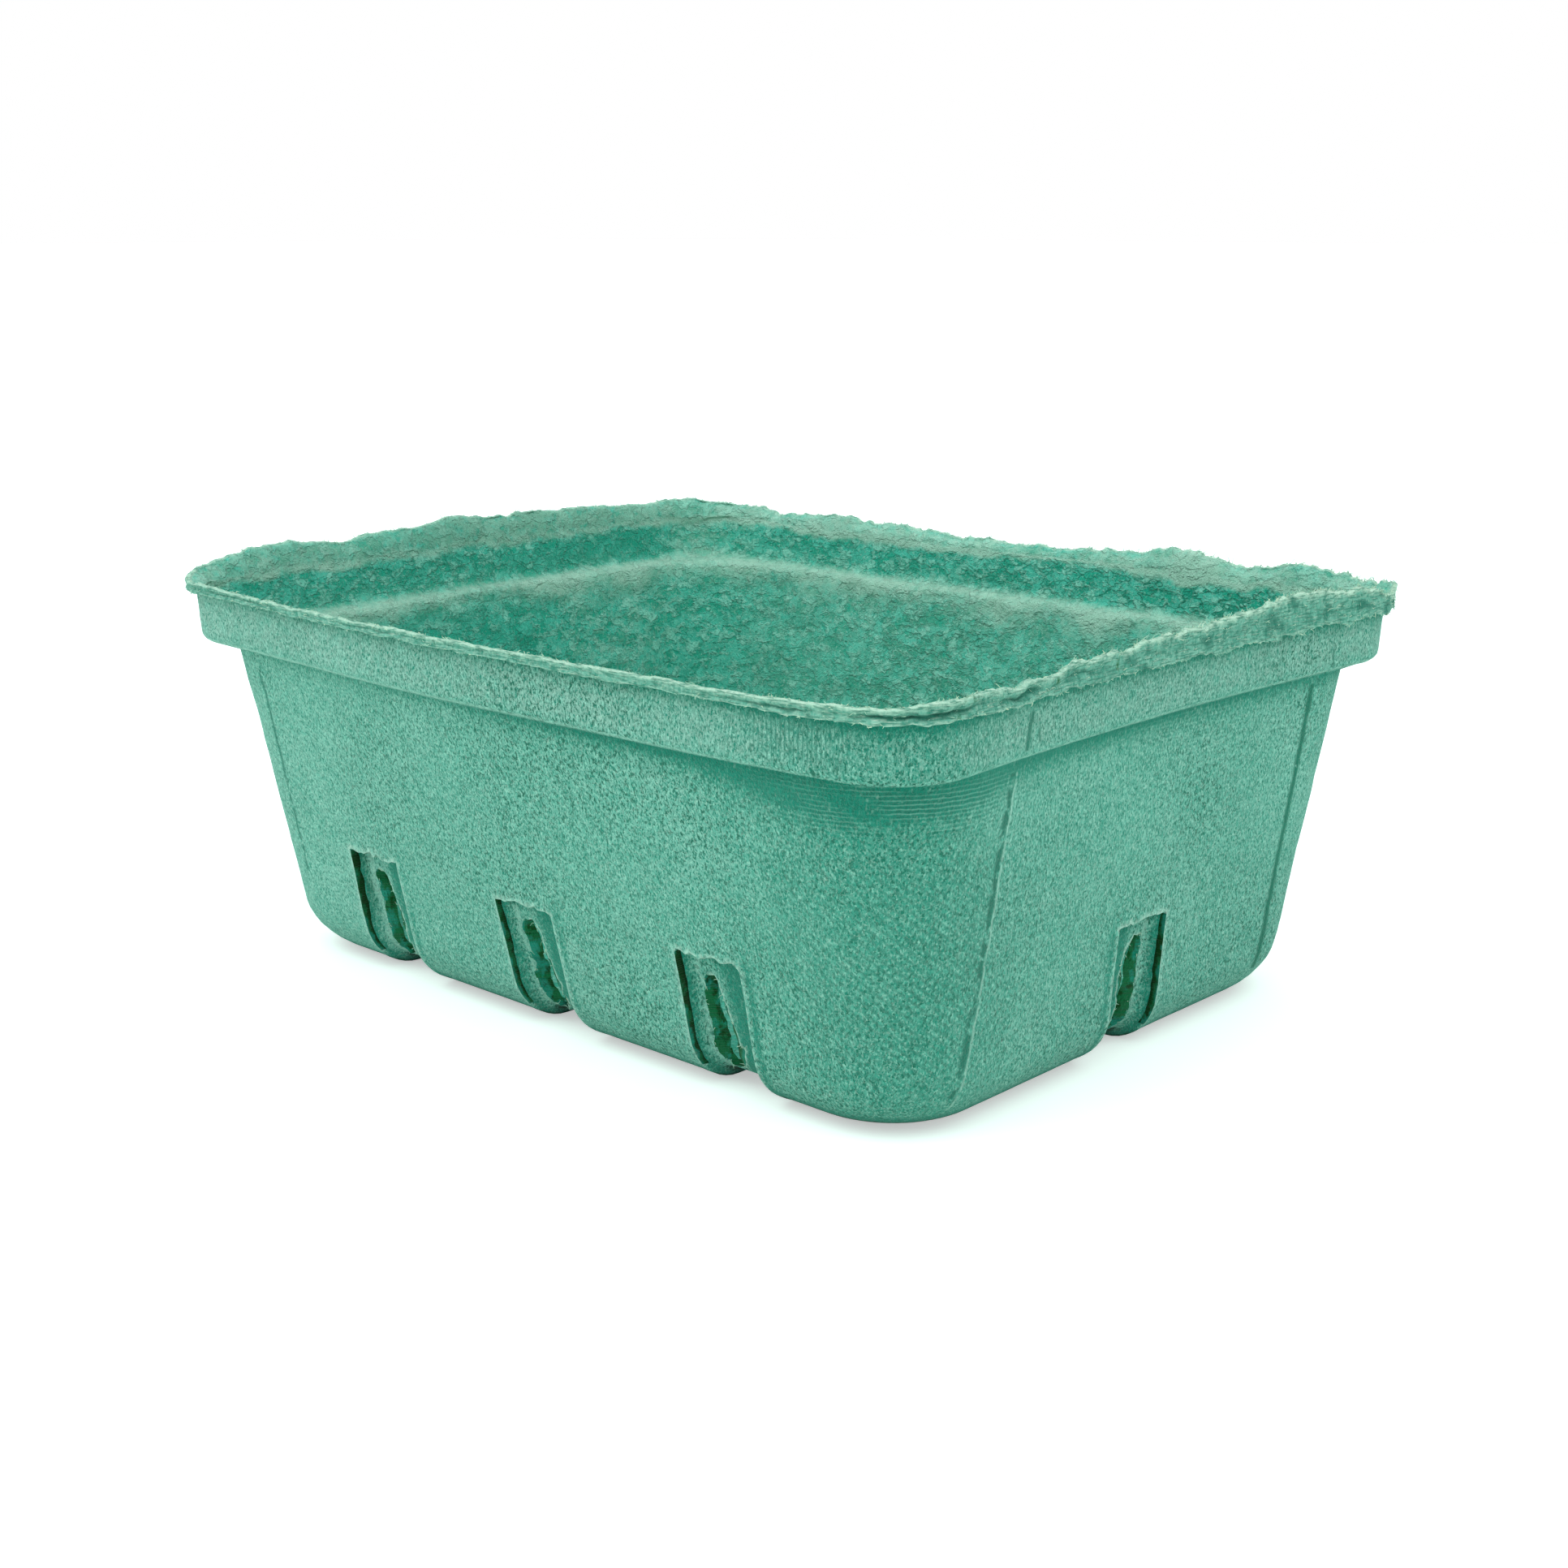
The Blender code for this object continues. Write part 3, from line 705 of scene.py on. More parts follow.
def pressBasket(sheet):
    lattice = latticeOf(verticesOf(sheet))
    points, inner, facts = pressSheet(lattice)
    count = len(points)
    for name in ("pale", "innerPale", "pit"):
        facts[name] = np.zeros(count)
    row, out, away, depth = facts["row"], facts["out"], facts["away"], facts["depth"]
    shadeSheet(points, inner, facts)

    # Torn rims of the slots follow their ragged outline
    ends = edgesOf(sheet)
    loops = np.empty(len(sheet.data.loops), int)
    sheet.data.loops.foreach_get("edge_index", loops)
    single = np.bincount(loops, minlength=len(ends)) == 1
    torn = np.zeros(count, bool)
    torn[ends[single].ravel()] = True
    torn &= row < marks["ledge"]
    middle, half, _ = slotShape(points, facts)
    side = np.sign(away - middle)
    reach = abs(away - middle)
    inSlit = torn & (abs(away) > vent["width"] / 2 - vent["slitWidth"] - 0.1)
    inSlot = torn & ~inSlit
    snap = inSlot & (reach < 5) & (reach > 0.45 * half)
    tangent = np.stack([-out[:, 1], out[:, 0], 0 * row], 1)
    move = np.where(snap, middle + side * half - away, 0)

    # The slits are nibbled, and wider at their upper end in the front's left vent
    crestSide = inSlit & (abs(away) < vent["width"] / 2 - 0.1)
    nibble = 0.3 * lumps(points, 1.8, 27) + 0.2 * lumps(points, 5, 28)
    leftmost = (facts["number"] == 0) & (points[:, 0] < -30) & (away < 0)
    gape = mix(0.35, 1.1 + 0.8 * lumps(points, 1.6, 29), leftmost) * smooth(9, 22, points[:, 2])
    toCrest = -np.sign(away) * (np.clip(nibble, -0.3, 0.45) + gape)
    move = move + np.where(crestSide, toCrest, 0)
    points += move[:, None] * tangent
    jitter = inSlot[:, None] * np.stack([0 * row, 0 * row, 0.4 * lumps(points, 1.1, 24)], 1)
    points += jitter

    # They close towards the inside
    through = points - out * basket["thickness"]
    towards = np.choose(facts["number"], [np.sign(slotShift[each]) for each in sides])
    taper = np.where(snap, -side * half * np.where(side == towards, 0.7, vent["slotTaper"]), 0)
    inner = np.where((inSlot | inSlit)[:, None], through + taper[:, None] * tangent, inner)
    # Painted shade in the vents' channel mouths and along the foot of the walls, painted shade inside the slits and
    # slots, and pale torn fibre on their rims, paler on one side of each slot as a painted highlight
    mouth = (1 - smooth(2.0, 3.9, points[:, 2])) * (depth > 0.5) * facts["wall"]
    facts["deep"] = mouth + 0.9 * (1 - smooth(1.2, 3.4, points[:, 2])) * (depth < 0.2) * facts["wall"]
    facts["innerPaintedSlotShade"] = np.where(inSlit, 1.6, np.where(inSlot, 1.05, 0.0))
    dark = mix(0.3, 0.8, smooth(6, 22, points[:, 2])) + 0.5 * lumps(points, 1.6, 65)
    facts["pit"] = np.where(inSlit, dark, np.where(inSlot, np.where(side == towards, 0.6, 0.5), 0.0))
    facts["pale"] = np.where(inSlot, np.where(side == -towards, 0.8, 0.15), facts["pale"])
    facts["pale"] = np.where(inSlit & ~crestSide, 0.3, facts["pale"])
    facts["slotRim"], facts["tangent"], facts["slotSide"] = inSlot, tangent, side

    # The roof over each vent tore unevenly, and the paper swells a little beside it
    roof = (abs(row - marks["roof"]) < 1.1) & (abs(away) < 8.2)
    jag = roof * (0.5 * lumps(points * (1, 1, 0), 2.6, 25) + 0.45 * lumps(points * (1, 1, 0), 1.2, 26))
    points[:, 2] += jag
    inner[:, 2] += jag
    facts["pale"][roof & (abs(row - marks["roof"]) < 0.1)] = 0.6
    swell = 0.35 * np.exp(-((abs(away) - 8.9) / 0.8) ** 2) * (row < marks["roof"]) * facts["wall"]

    # Relief: slow waves through the whole sheet, fine lumps outside, felted lumps inside
    free = smooth(0, basket["filletRows"], row)
    wave = basket["wave"] * lumps(points, 42, 41) + 0.12 * lumps(points, 15, 42)
    fine = basket["outerLumps"] * (lumps(points, 5, 43) + 0.8 * lumps(points, 2.4, 44))
    felt = lumps(inner * (1, 1, 1.5), 6.5, 45) + 0.7 * lumps(inner * (1, 1, 1.3), 3.1, 46)
    quiet = 1 - 0.5 * smooth(marks["ledge"], marks["band"], row)
    points += out * ((wave + fine) * free + swell)[:, None]
    inner += out * (wave * free - basket["innerLumps"] * felt * quiet * (0.3 + 0.7 * free))[:, None]
    flatFloor = ~facts["wall"]
    inner[flatFloor, 2] += 0.6 * basket["innerLumps"] * felt[flatFloor]
    sag = np.exp(-((row - marks["lip"]) / 2.2) ** 2)
    crumple = 0.7 * lumps(inner * (1, 1, 0), 13, 48) + 0.5 * lumps(inner * (1, 1, 0), 5, 49)
    inner[:, 2] += sag * (crumple - 0.3)
    inner += out * (0.35 * sag * (1 + crumple))[:, None]
    points[:, 2] += (1 - free) * 0.15 * (1 + lumps(points, 18, 47)) * (depth > 0.5)
    points[:, 2] = np.maximum(points[:, 2], 0)
    shapeLip(points, inner, facts)
    return points, inner, facts


def makeBasket():
    sheet = makeBlank()
    print("blank", len(sheet.data.polygons), "faces")
    points, inner, facts = pressBasket(sheet)
    count, faces = len(points), len(sheet.data.polygons)
    rows = np.round(facesOf(sheet)[:, 2] / mm, 3)
    sheet.data.vertices.foreach_set("co", (points * mm).ravel())
    sheet.data.update()
    floorNormal = sheet.data.polygons[0].normal.z
    if floorNormal > 0:
        sheet.data.flip_normals()
    wall = sheet.modifiers.new("wall", "SOLIDIFY")
    wall.thickness = basket["thickness"] * mm
    wall.offset = -1
    wall.use_rim = True
    bpy.ops.object.modifier_apply(modifier=wall.name)
    print("second skin", len(sheet.data.vertices), "vertices for", 2 * count)
    both = np.concatenate([points, inner]) * mm
    sheet.data.vertices.foreach_set("co", both.ravel())
    kind = np.full(len(sheet.data.polygons), 2)
    kind[:faces] = np.where(rows > marks["face"], 2, 0)
    kind[faces:2 * faces] = 1
    marksBySkin = {
        "pale": ("pale", "innerPale"), "worn": ("worn", "innerGreyingAndHighlight"), "tone": ("tone", "innerPaintedLight"),
        "pit": ("pit", "innerPaintedSlotShade"), "fleck": ("fleck", "folds"), "levelPrint": ("levelPrint", None),
        "uprightPrint": ("uprightPrint", None), "slantPrint": ("slantPrint", None), "deep": ("deep", None),
    }
    for name, (outerName, innerName) in marksBySkin.items():
        innerValues = facts[innerName] if innerName else np.zeros(count)
        values = np.concatenate([facts[outerName], innerValues]).astype(np.float32)
        sheet.data.attributes.new(name, "FLOAT", "POINT").data.foreach_set("value", values)

    # Round the basket and up it, in metres, for what follows its surface
    corners = np.empty(len(sheet.data.loops), int)
    sheet.data.loops.foreach_get("vertex_index", corners)
    starts = np.empty(len(sheet.data.polygons), int)
    sheet.data.polygons.foreach_get("loop_start", starts)
    around = np.concatenate([facts["round"], facts["round"]])[corners]
    faceOf = np.repeat(np.arange(len(starts)), np.diff(np.append(starts, len(corners))))
    largest = np.maximum.reduceat(around, starts)[faceOf]
    around = np.where(largest - around > facts["roundTotal"] / 2, around + facts["roundTotal"], around)
    height = both[corners, 2]
    layer = sheet.data.uv_layers[0] if sheet.data.uv_layers else sheet.data.uv_layers.new(name="wrap")
    layer.name = "wrap"
    layer.data.foreach_set("uv", np.stack([around * mm, height], 1).astype(np.float32).ravel())
    sheet.data.update()
    return sheet, kind, points, facts


def addNode(tree, kind, settings=None, inputs=None):  # an input takes a value, or a socket to link from
    node = tree.nodes.new(kind)
    for name, value in (settings or {}).items():
        setattr(node, name, value)
    for name, value in (inputs or {}).items():
        if isinstance(value, bpy.types.NodeSocket):
            tree.links.new(value, node.inputs[name])
        else:
            node.inputs[name].default_value = value
    return node


# Moulded pulp: waste-paper fibre felted on a wire mesh, dyed green, dull and dry all over.
# Outside it took the mesh's even side, inside it is lumpier, and where it tore its pale fibres show.
# Each layer is laid over the ones before it. Sizes are in mm; "long" draws a grain out up the wall, or
# along the rim on the wrapped map; "range" is where its noise starts and ends to show; "fold" draws a
# line where the noise is at its middle; "by" keeps a layer to where that attribute is set, with "fray".
# Layers keyed to the attributes of painted light paint shade and highlight into the colour; the rest are the pulp's
# own colour, grain and print.
pulpLooks = {
    "screenSidePulp": {
        "base": "#66B39F", "bump": 0.15, "gloss": 0.25,
        "layers": (
            {"colour": "#419480", "size": 2.2, "long": 1.3, "turn": 0.5, "detail": 4, "range": (0.52, 0.38), "share": 0.5, "rise": -0.5},
            {"colour": "#8CC7B6", "size": 19, "long": 1, "turn": 0, "detail": 2, "range": (0.5, 0.7), "share": 0.35, "rise": 0},
            {"colour": "#8CA79B", "size": 2.4, "long": 1, "turn": 0.7, "detail": 3, "range": (0.28, 0.56), "share": 0.5, "rise": 0, "by": "worn"},
            # Painted shade where the painted-light attribute falls below zero
            {"colour": "#0C927A", "size": 1.2, "long": 1.5, "turn": 0.2, "detail": 3, "range": (-0.05, -0.9), "share": 0.85, "rise": 0, "by": "tone", "fray": 2.0},
            {"colour": "#1C8771", "size": 0.36, "long": 1.8, "turn": 0.25, "detail": 2, "range": (0.49, 0.39), "share": 1.0, "rise": -0.8},
            {"colour": "#98D6C3", "size": 0.38, "long": 1.8, "turn": -0.55, "detail": 2, "range": (0.51, 0.63), "share": 0.75, "rise": 0.5},
            {"colour": "#137059", "size": 0.60, "long": 1.5, "turn": 0.9, "detail": 3, "range": (0.54, 0.63), "share": 0.95, "rise": -0.7, "by": "fleck"},
            {"colour": "#B4DDCD", "size": 3.0, "long": 1.0, "turn": 0.3, "detail": 3, "range": (0.484, 0.5), "share": 0.35, "rise": 0.3, "fold": True},
            # Finer painted shade below zero, and a painted highlight above it
            {"colour": "#0E8670", "size": 0.9, "long": 1.5, "turn": 0.5, "detail": 3, "range": (-0.12, -1.2), "share": 0.85, "rise": 0, "by": "tone", "fray": 1.6},
            {"colour": "#A5D6C5", "size": 1.2, "long": 1.0, "turn": 0.6, "detail": 3, "range": (0.10, 0.9), "share": 0.9, "rise": 0.2, "by": "tone", "fray": 1.2},
            {"colour": "#2A7A68", "wires": "Y", "period": 0.82, "ruffle": 2.4, "range": (0.55, 0.9), "share": 0.65, "rise": -0.3, "by": "levelPrint"},
            {"colour": "#A8D6C6", "wires": "Y", "period": 0.82, "ruffle": 2.4, "range": (0.40, 0.05), "share": 0.3, "rise": 0.2, "by": "levelPrint"},
            {"colour": "#3C8A77", "wires": "X", "period": 0.92, "ruffle": 2.0, "range": (0.5, 0.9), "share": 0.85, "rise": -0.5, "by": "uprightPrint"},
            {"colour": "#3C8A77", "wires": "DIAGONAL", "period": 0.95, "ruffle": 0.8, "range": (0.5, 0.9), "share": 0.75, "rise": -0.4, "by": "slantPrint"},
            # Pale torn fibre, with a painted highlight on one side of each slot
            {"colour": "#B2DCCB", "size": 0.9, "long": 1.5, "turn": 0.4, "detail": 3, "range": (0.15, 0.8), "share": 0.9, "rise": 0.3, "by": "pale", "fray": 1.5},
            # Painted shade along the foot of the walls and in the channel mouths
            {"colour": "#0B4A34", "size": 1.2, "long": 1.5, "turn": 0.1, "detail": 3, "range": (0.2, 0.7), "share": 0.95, "rise": 0, "by": "deep", "fray": 0.9},
        ),
    },
    "feltSidePulp": {
        # Lighter and more saturated than the screen side: partly the felt side's own colour, partly painted light for
        # the inside of the basket
        "base": "#47C2AA", "bump": 0.45, "gloss": 0.25,
        "layers": (
            {"colour": "#6CCFB9", "size": 14, "long": 1, "turn": 0, "detail": 2, "range": (0.5, 0.7), "share": 0.4, "rise": 0},
            {"colour": "#07A88B", "size": 4.6, "long": 0.6, "turn": 0.3, "detail": 4, "range": (0.495, 0.455), "share": 0.95, "rise": -0.8},
            {"colour": "#86DAC4", "size": 3.6, "long": 0.7, "turn": -0.4, "detail": 4, "range": (0.53, 0.585), "share": 0.85, "rise": 0.8},
            {"colour": "#008E74", "size": 5.2, "long": 0.6, "turn": 0.3, "detail": 2, "range": (0.457, 0.477), "share": 0.9, "rise": -0.7, "fold": True, "by": "fleck"},
            {"colour": "#1CA38A", "size": 0.65, "long": 1.2, "turn": 0.6, "detail": 3, "range": (0.50, 0.36), "share": 0.6, "rise": -0.5},
            {"colour": "#94D8C3", "size": 0.75, "long": 1.0, "turn": -0.8, "detail": 3, "range": (0.54, 0.68), "share": 0.5, "rise": 0.4},
            # Painted shade where the inside's painted-light attribute falls below zero
            {"colour": "#0EA489", "size": 2.4, "long": 1, "turn": 0.2, "detail": 4, "range": (-0.05, -0.9), "share": 0.8, "rise": 0, "by": "tone", "fray": 2.4},
            # Greyer pulp, and a painted highlight on the inner ledge
            {"colour": "#82BAA2", "size": 2.4, "long": 1, "turn": 0.7, "detail": 3, "range": (0.28, 0.5), "share": 0.75, "rise": 0, "by": "worn"},
            # Painted highlight where that attribute rises above zero
            {"colour": "#A2D4BE", "size": 1.8, "long": 1, "turn": 0.6, "detail": 4, "range": (0.05, 0.95), "share": 0.85, "rise": 0, "by": "tone", "fray": 1.4},
            {"colour": "#B0D8C4", "size": 0.9, "long": 1, "turn": 0.4, "detail": 3, "range": (0.2, 0.9), "share": 0.8, "rise": 0, "by": "pale", "fray": 1.2},
        ),
    },
    "tornPulp": {
        "base": "#62A894", "bump": 0.22, "gloss": 0.04,
        "layers": (
            {"colour": "#2F8873", "size": 1.5, "long": 1.3, "turn": 0.3, "detail": 4, "range": (0.50, 0.40), "share": 0.75, "rise": -0.5},
            {"colour": "#86C0AC", "size": 0.9, "long": 1.8, "turn": -0.6, "detail": 3, "range": (0.51, 0.64), "share": 0.7, "rise": 0.5},
            {"colour": "#B2D8C2", "size": 0.8, "long": 1.0, "turn": 0.4, "detail": 3, "range": (0.15, 0.95), "share": 0.85, "rise": 0.3, "by": "pale", "fray": 1.4},
            {"colour": "#3C8A75", "size": 0.40, "long": 7.0, "turn": 0, "detail": 3, "range": (0.52, 0.62), "share": 0.75, "rise": -0.8, "wrapped": True},
            {"colour": "#C6E4D0", "size": 0.30, "long": 10.0, "turn": 0, "detail": 3, "range": (0.44, 0.34), "share": 0.45, "rise": 0.6, "wrapped": True},
            # Painted shade between the plies and under the lip, and random darker patches
            {"colour": "#1F7461", "size": 1.2, "long": 1.5, "turn": 0.2, "detail": 3, "range": (-0.15, -0.9), "share": 0.85, "rise": 0, "by": "tone", "fray": 0.9},
            # Painted shade inside the slits and slots, in three steps down to near black
            {"colour": "#178C76", "size": 1.2, "long": 1.0, "turn": 0.1, "detail": 3, "range": (0.05, 0.40), "share": 0.95, "rise": 0, "by": "pit", "fray": 0.5},
            {"colour": "#0E6636", "size": 2.8, "long": 1.8, "turn": 0.4, "detail": 4, "range": (0.5, 0.85), "share": 0.9, "rise": 0, "by": "pit", "fray": 3.4},
            {"colour": "#054216", "size": 1.5, "long": 1.6, "turn": 0.8, "detail": 3, "range": (0.92, 1.2), "share": 0.95, "rise": 0, "by": "pit", "fray": 2.4},
        ),
    },
    "looseFibre": {
        "base": "#98C8B0", "bump": 0.02, "gloss": 0.25,
        "layers": (
            {"colour": "#CBE3C8", "size": 3.0, "long": 1, "turn": 0, "detail": 3, "range": (0.45, 0.6), "share": 0.8, "rise": 0},
            {"colour": "#6FAE98", "size": 5.0, "long": 1, "turn": 0.4, "detail": 3, "range": (0.5, 0.65), "share": 0.7, "rise": 0.3},
        ),
    },
}

# Seams of the mould's mesh on the outside: lines across one axis, on the wall beyond a place on the other.
# Each starts at "foot" on the table and leans by a share of the height.
seams = (
    {"across": "Y", "on": "X", "beyond": 85, "foot": -52.1, "lean": 0.0854, "half": 1.25, "low": 5, "high": 68, "colour": "#1A735F", "share": 0.95, "gaps": 0.43, "rise": -0.8},
    {"across": "Y", "on": "X", "beyond": 85, "foot": -50.9, "lean": 0.0854, "half": 0.42, "low": 5, "high": 68, "colour": "#A9D8C7", "share": 0.5, "gaps": 0.36, "rise": 0.7},
    {"across": "Y", "on": "X", "beyond": 85, "foot": 48.0, "lean": 0.0652, "half": 1.25, "low": 7, "high": 68.5, "colour": "#0C745D", "share": 1.0, "gaps": 0.2, "rise": -0.6},
    {"across": "X", "on": "Y", "beyond": 62, "foot": -74.0, "lean": -0.0536, "half": 0.65, "low": 20, "high": 66, "colour": "#1C7965", "share": 0.8, "gaps": 0.34, "rise": -0.8},
    {"across": "Y", "on": "X", "beyond": 100, "foot": -57.3, "lean": 0.145, "half": 0.9, "low": 72, "high": 79.2, "colour": "#1F7561", "share": 0.9, "gaps": 0.2, "rise": -0.6},
    {"across": "Y", "on": "X", "beyond": 100, "foot": -38.6, "lean": -0.06, "half": 0.6, "low": 73, "high": 77, "colour": "#23735F", "share": 0.6, "gaps": 0.5, "rise": -0.6},
    {"across": "Y", "on": "X", "beyond": 100, "foot": 52.0, "lean": 0.033, "half": 0.6, "low": 70.6, "high": 76.6, "colour": "#23735F", "share": 0.7, "gaps": 0.4, "rise": -0.6},
    {"across": "Y", "on": "X", "beyond": 85, "foot": -39.9, "lean": 0, "half": 0.45, "low": 16.0, "high": 16.9, "colour": "#0F3D33", "share": 0.9, "gaps": 0.1, "rise": 0},
)


def addLayer(tree, layer, colour, height):
    # One layer's nodes: its noise or mesh lines, the range that shows, and the mix over the colour so far
    place = addNode(tree, "ShaderNodeTexCoord").outputs["Object"]
    if "wires" in layer:
        wrap = addNode(tree, "ShaderNodeUVMap", {"uv_map": "wrap"}).outputs[0]
        scale = 0.314 / (layer["period"] * mm)
        settings = {"bands_direction": layer["wires"]}
        pattern = addNode(tree, "ShaderNodeTexWave", settings, {"Scale": scale, "Vector": wrap, "Distortion": layer["ruffle"], "Detail": 3, "Detail Scale": 1.6})
        value = pattern.outputs["Fac"]
    else:
        turn = layer["turn"]
        turning = {"Rotation": (turn, turn * 0.7, turn * 0.4), "Scale": (1, 1, 1 / layer["long"])}
        if layer.get("wrapped"):
            place = addNode(tree, "ShaderNodeUVMap", {"uv_map": "wrap"}).outputs[0]
            turning = {"Scale": (1 / layer["long"], 1, 1)}
        turned = addNode(tree, "ShaderNodeMapping", None, {"Vector": place, **turning}).outputs[0]
        grain = {"Vector": turned, "Scale": 1 / (layer["size"] * mm), "Detail": layer["detail"], "Roughness": 0.6}
        value = addNode(tree, "ShaderNodeTexNoise", None, grain).outputs[0]
    if layer.get("fold"):
        value = addNode(tree, "ShaderNodeMath", {"operation": "PINGPONG"}, {0: value, 1: 0.5}).outputs[0]
    low, high = layer["range"]
    share = layer["share"]
    if "by" in layer:
        place = addNode(tree, "ShaderNodeAttribute", {"attribute_name": layer["by"]}).outputs["Fac"]
        if "fray" in layer:
            offCentre = addNode(tree, "ShaderNodeMath", {"operation": "SUBTRACT"}, {0: value, 1: 0.5}).outputs[0]
            values = {0: offCentre, 1: layer["fray"], 2: place}
            value = addNode(tree, "ShaderNodeMath", {"operation": "MULTIPLY_ADD"}, values).outputs[0]
        else:
            share = addNode(tree, "ShaderNodeMath", {"operation": "MULTIPLY"}, {0: place, 1: share}).outputs[0]
    limits = {"Value": value, "From Min": low, "From Max": high, "To Max": share}
    mask = addNode(tree, "ShaderNodeMapRange", {"clamp": True}, limits).outputs[0]
    mixed = {0: mask, 6: colour, 7: linear(layer["colour"])}
    colour = addNode(tree, "ShaderNodeMix", {"data_type": "RGBA"}, mixed).outputs[2]
    if layer["rise"]:
        values = {0: mask, 1: layer["rise"], 2: height}
        height = addNode(tree, "ShaderNodeMath", {"operation": "MULTIPLY_ADD"}, values).outputs[0]
    return colour, height


def addSeam(tree, seam, colour, height):
    place = addNode(tree, "ShaderNodeTexCoord").outputs["Object"]
    axes = addNode(tree, "ShaderNodeSeparateXYZ", None, {"Vector": place}).outputs
    wobble = addNode(tree, "ShaderNodeTexNoise", None, {"Vector": place, "Scale": 1 / (4 * mm), "Detail": 3})
    leant = addNode(tree, "ShaderNodeMath", {"operation": "MULTIPLY_ADD"},
                    {0: axes["Z"], 1: -seam["lean"], 2: axes[seam["across"]]}).outputs[0]
    offset = addNode(tree, "ShaderNodeMath", {"operation": "MULTIPLY_ADD"},
                     {0: wobble.outputs[0], 1: 1.2 * mm, 2: leant}).outputs[0]
    away = addNode(tree, "ShaderNodeMath", {"operation": "SUBTRACT"},
                   {0: offset, 1: (seam["foot"] + 0.6) * mm}).outputs[0]
    away = addNode(tree, "ShaderNodeMath", {"operation": "ABSOLUTE"}, {0: away}).outputs[0]
    half = seam["half"] * mm
    limits = {"Value": away, "From Min": half, "From Max": half * 0.3, "To Max": seam["share"]}
    mask = addNode(tree, "ShaderNodeMapRange", {"clamp": True}, limits).outputs[0]
    sign = 1 if seam["on"] == "X" else -1
    facing = addNode(tree, "ShaderNodeMath", {"operation": "MULTIPLY"}, {0: axes[seam["on"]], 1: sign}).outputs[0]
    broken = {"Vector": place, "Scale": 1 / (2.6 * mm), "Detail": 2}
    gaps = addNode(tree, "ShaderNodeTexNoise", None, broken).outputs[0]
    tests = (
        (facing, seam["beyond"] * mm, 0.5 * mm),
        (axes["Z"], seam["low"] * mm, 0.4 * mm),
        (axes["Z"], seam["high"] * mm, -0.4 * mm),
        (gaps, seam["gaps"], 0.08),
    )
    for value, start, span in tests:
        limits = {"Value": value, "From Min": start, "From Max": start + span}
        within = addNode(tree, "ShaderNodeMapRange", {"clamp": True}, limits).outputs[0]
        mask = addNode(tree, "ShaderNodeMath", {"operation": "MULTIPLY"}, {0: mask, 1: within}).outputs[0]
    mixed = {0: mask, 6: colour, 7: linear(seam["colour"])}
    colour = addNode(tree, "ShaderNodeMix", {"data_type": "RGBA"}, mixed).outputs[2]
    values = {0: mask, 1: seam["rise"], 2: height}
    return colour, addNode(tree, "ShaderNodeMath", {"operation": "MULTIPLY_ADD"}, values).outputs[0]


def pulpMaterial(name):
    look = pulpLooks[name]
    material = bpy.data.materials.new(name)
    material.use_nodes = True
    tree = material.node_tree
    shader = tree.nodes["Principled BSDF"]
    place = addNode(tree, "ShaderNodeTexCoord").outputs["Object"]
    colour = linear(look["base"])

    # Grit of a third of a millimetre under everything
    grit = {"Vector": place, "Scale": 1 / (0.35 * mm), "Detail": 3, "Roughness": 0.7}
    height = addNode(tree, "ShaderNodeTexNoise", None, grit).outputs[0]
    for layer in look["layers"]:
        colour, height = addLayer(tree, layer, colour, height)
    if name == "screenSidePulp":
        for seam in seams:
            colour, height = addSeam(tree, seam, colour, height)
    bump = addNode(tree, "ShaderNodeBump", None, {"Strength": 1.0, "Distance": look["bump"] * mm, "Height": height})
    tree.links.new(bump.outputs[0], shader.inputs["Normal"])
    tree.links.new(colour, shader.inputs["Base Color"])
    shader.inputs["Roughness"].default_value = 0.93
    shader.inputs["Specular IOR Level"].default_value = look["gloss"]
    shader.inputs["Sheen Weight"].default_value = 0.10  # loose fibre ends
    shader.inputs["Sheen Roughness"].default_value = 0.5
    return material


sheet, kind, points, facts = makeBasket()
pulps = {name: pulpMaterial(name) for name in pulpLooks}
for name in ("screenSidePulp", "feltSidePulp", "tornPulp"):
    sheet.data.materials.append(pulps[name])
sheet.data.polygons.foreach_set("material_index", kind)
deselectAll()
sheet.select_set(True)
bpy.context.view_layer.objects.active = sheet
bpy.ops.object.shade_smooth_by_angle(angle=math.radians(50))
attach(sheet, "root")
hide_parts("pulp_basket")
triangles = sum(len(face.vertices) - 2 for face in sheet.data.polygons)
print("basket pressed,", triangles, "triangles")


# Loose fibres on the torn edges, in millimetres: thin tapered hairs, bent once or twice
fibres = {
    "crest": {"count": 1100, "short": 0.35, "long": 2.2, "rise": (0.15, 1.0), "out": (-0.4, 0.6), "drop": (0.0, 0.2)},
    "face": {"count": 500, "short": 0.5, "long": 1.6, "rise": (-0.25, 0.3), "out": (0.05, 0.4), "drop": (0.4, 3.5)},
    "hem": {"count": 420, "short": 0.3, "long": 1.1, "rise": (-0.8, 0.0), "out": (0.0, 0.5), "drop": (0, 0)},
    "slot": {"count": 240, "short": 0.5, "long": 1.8, "rise": (-0.9, 0.5), "out": (-0.2, 0.5), "drop": (0, 0)},
    "radius": 0.085, "bend": 0.22,
}


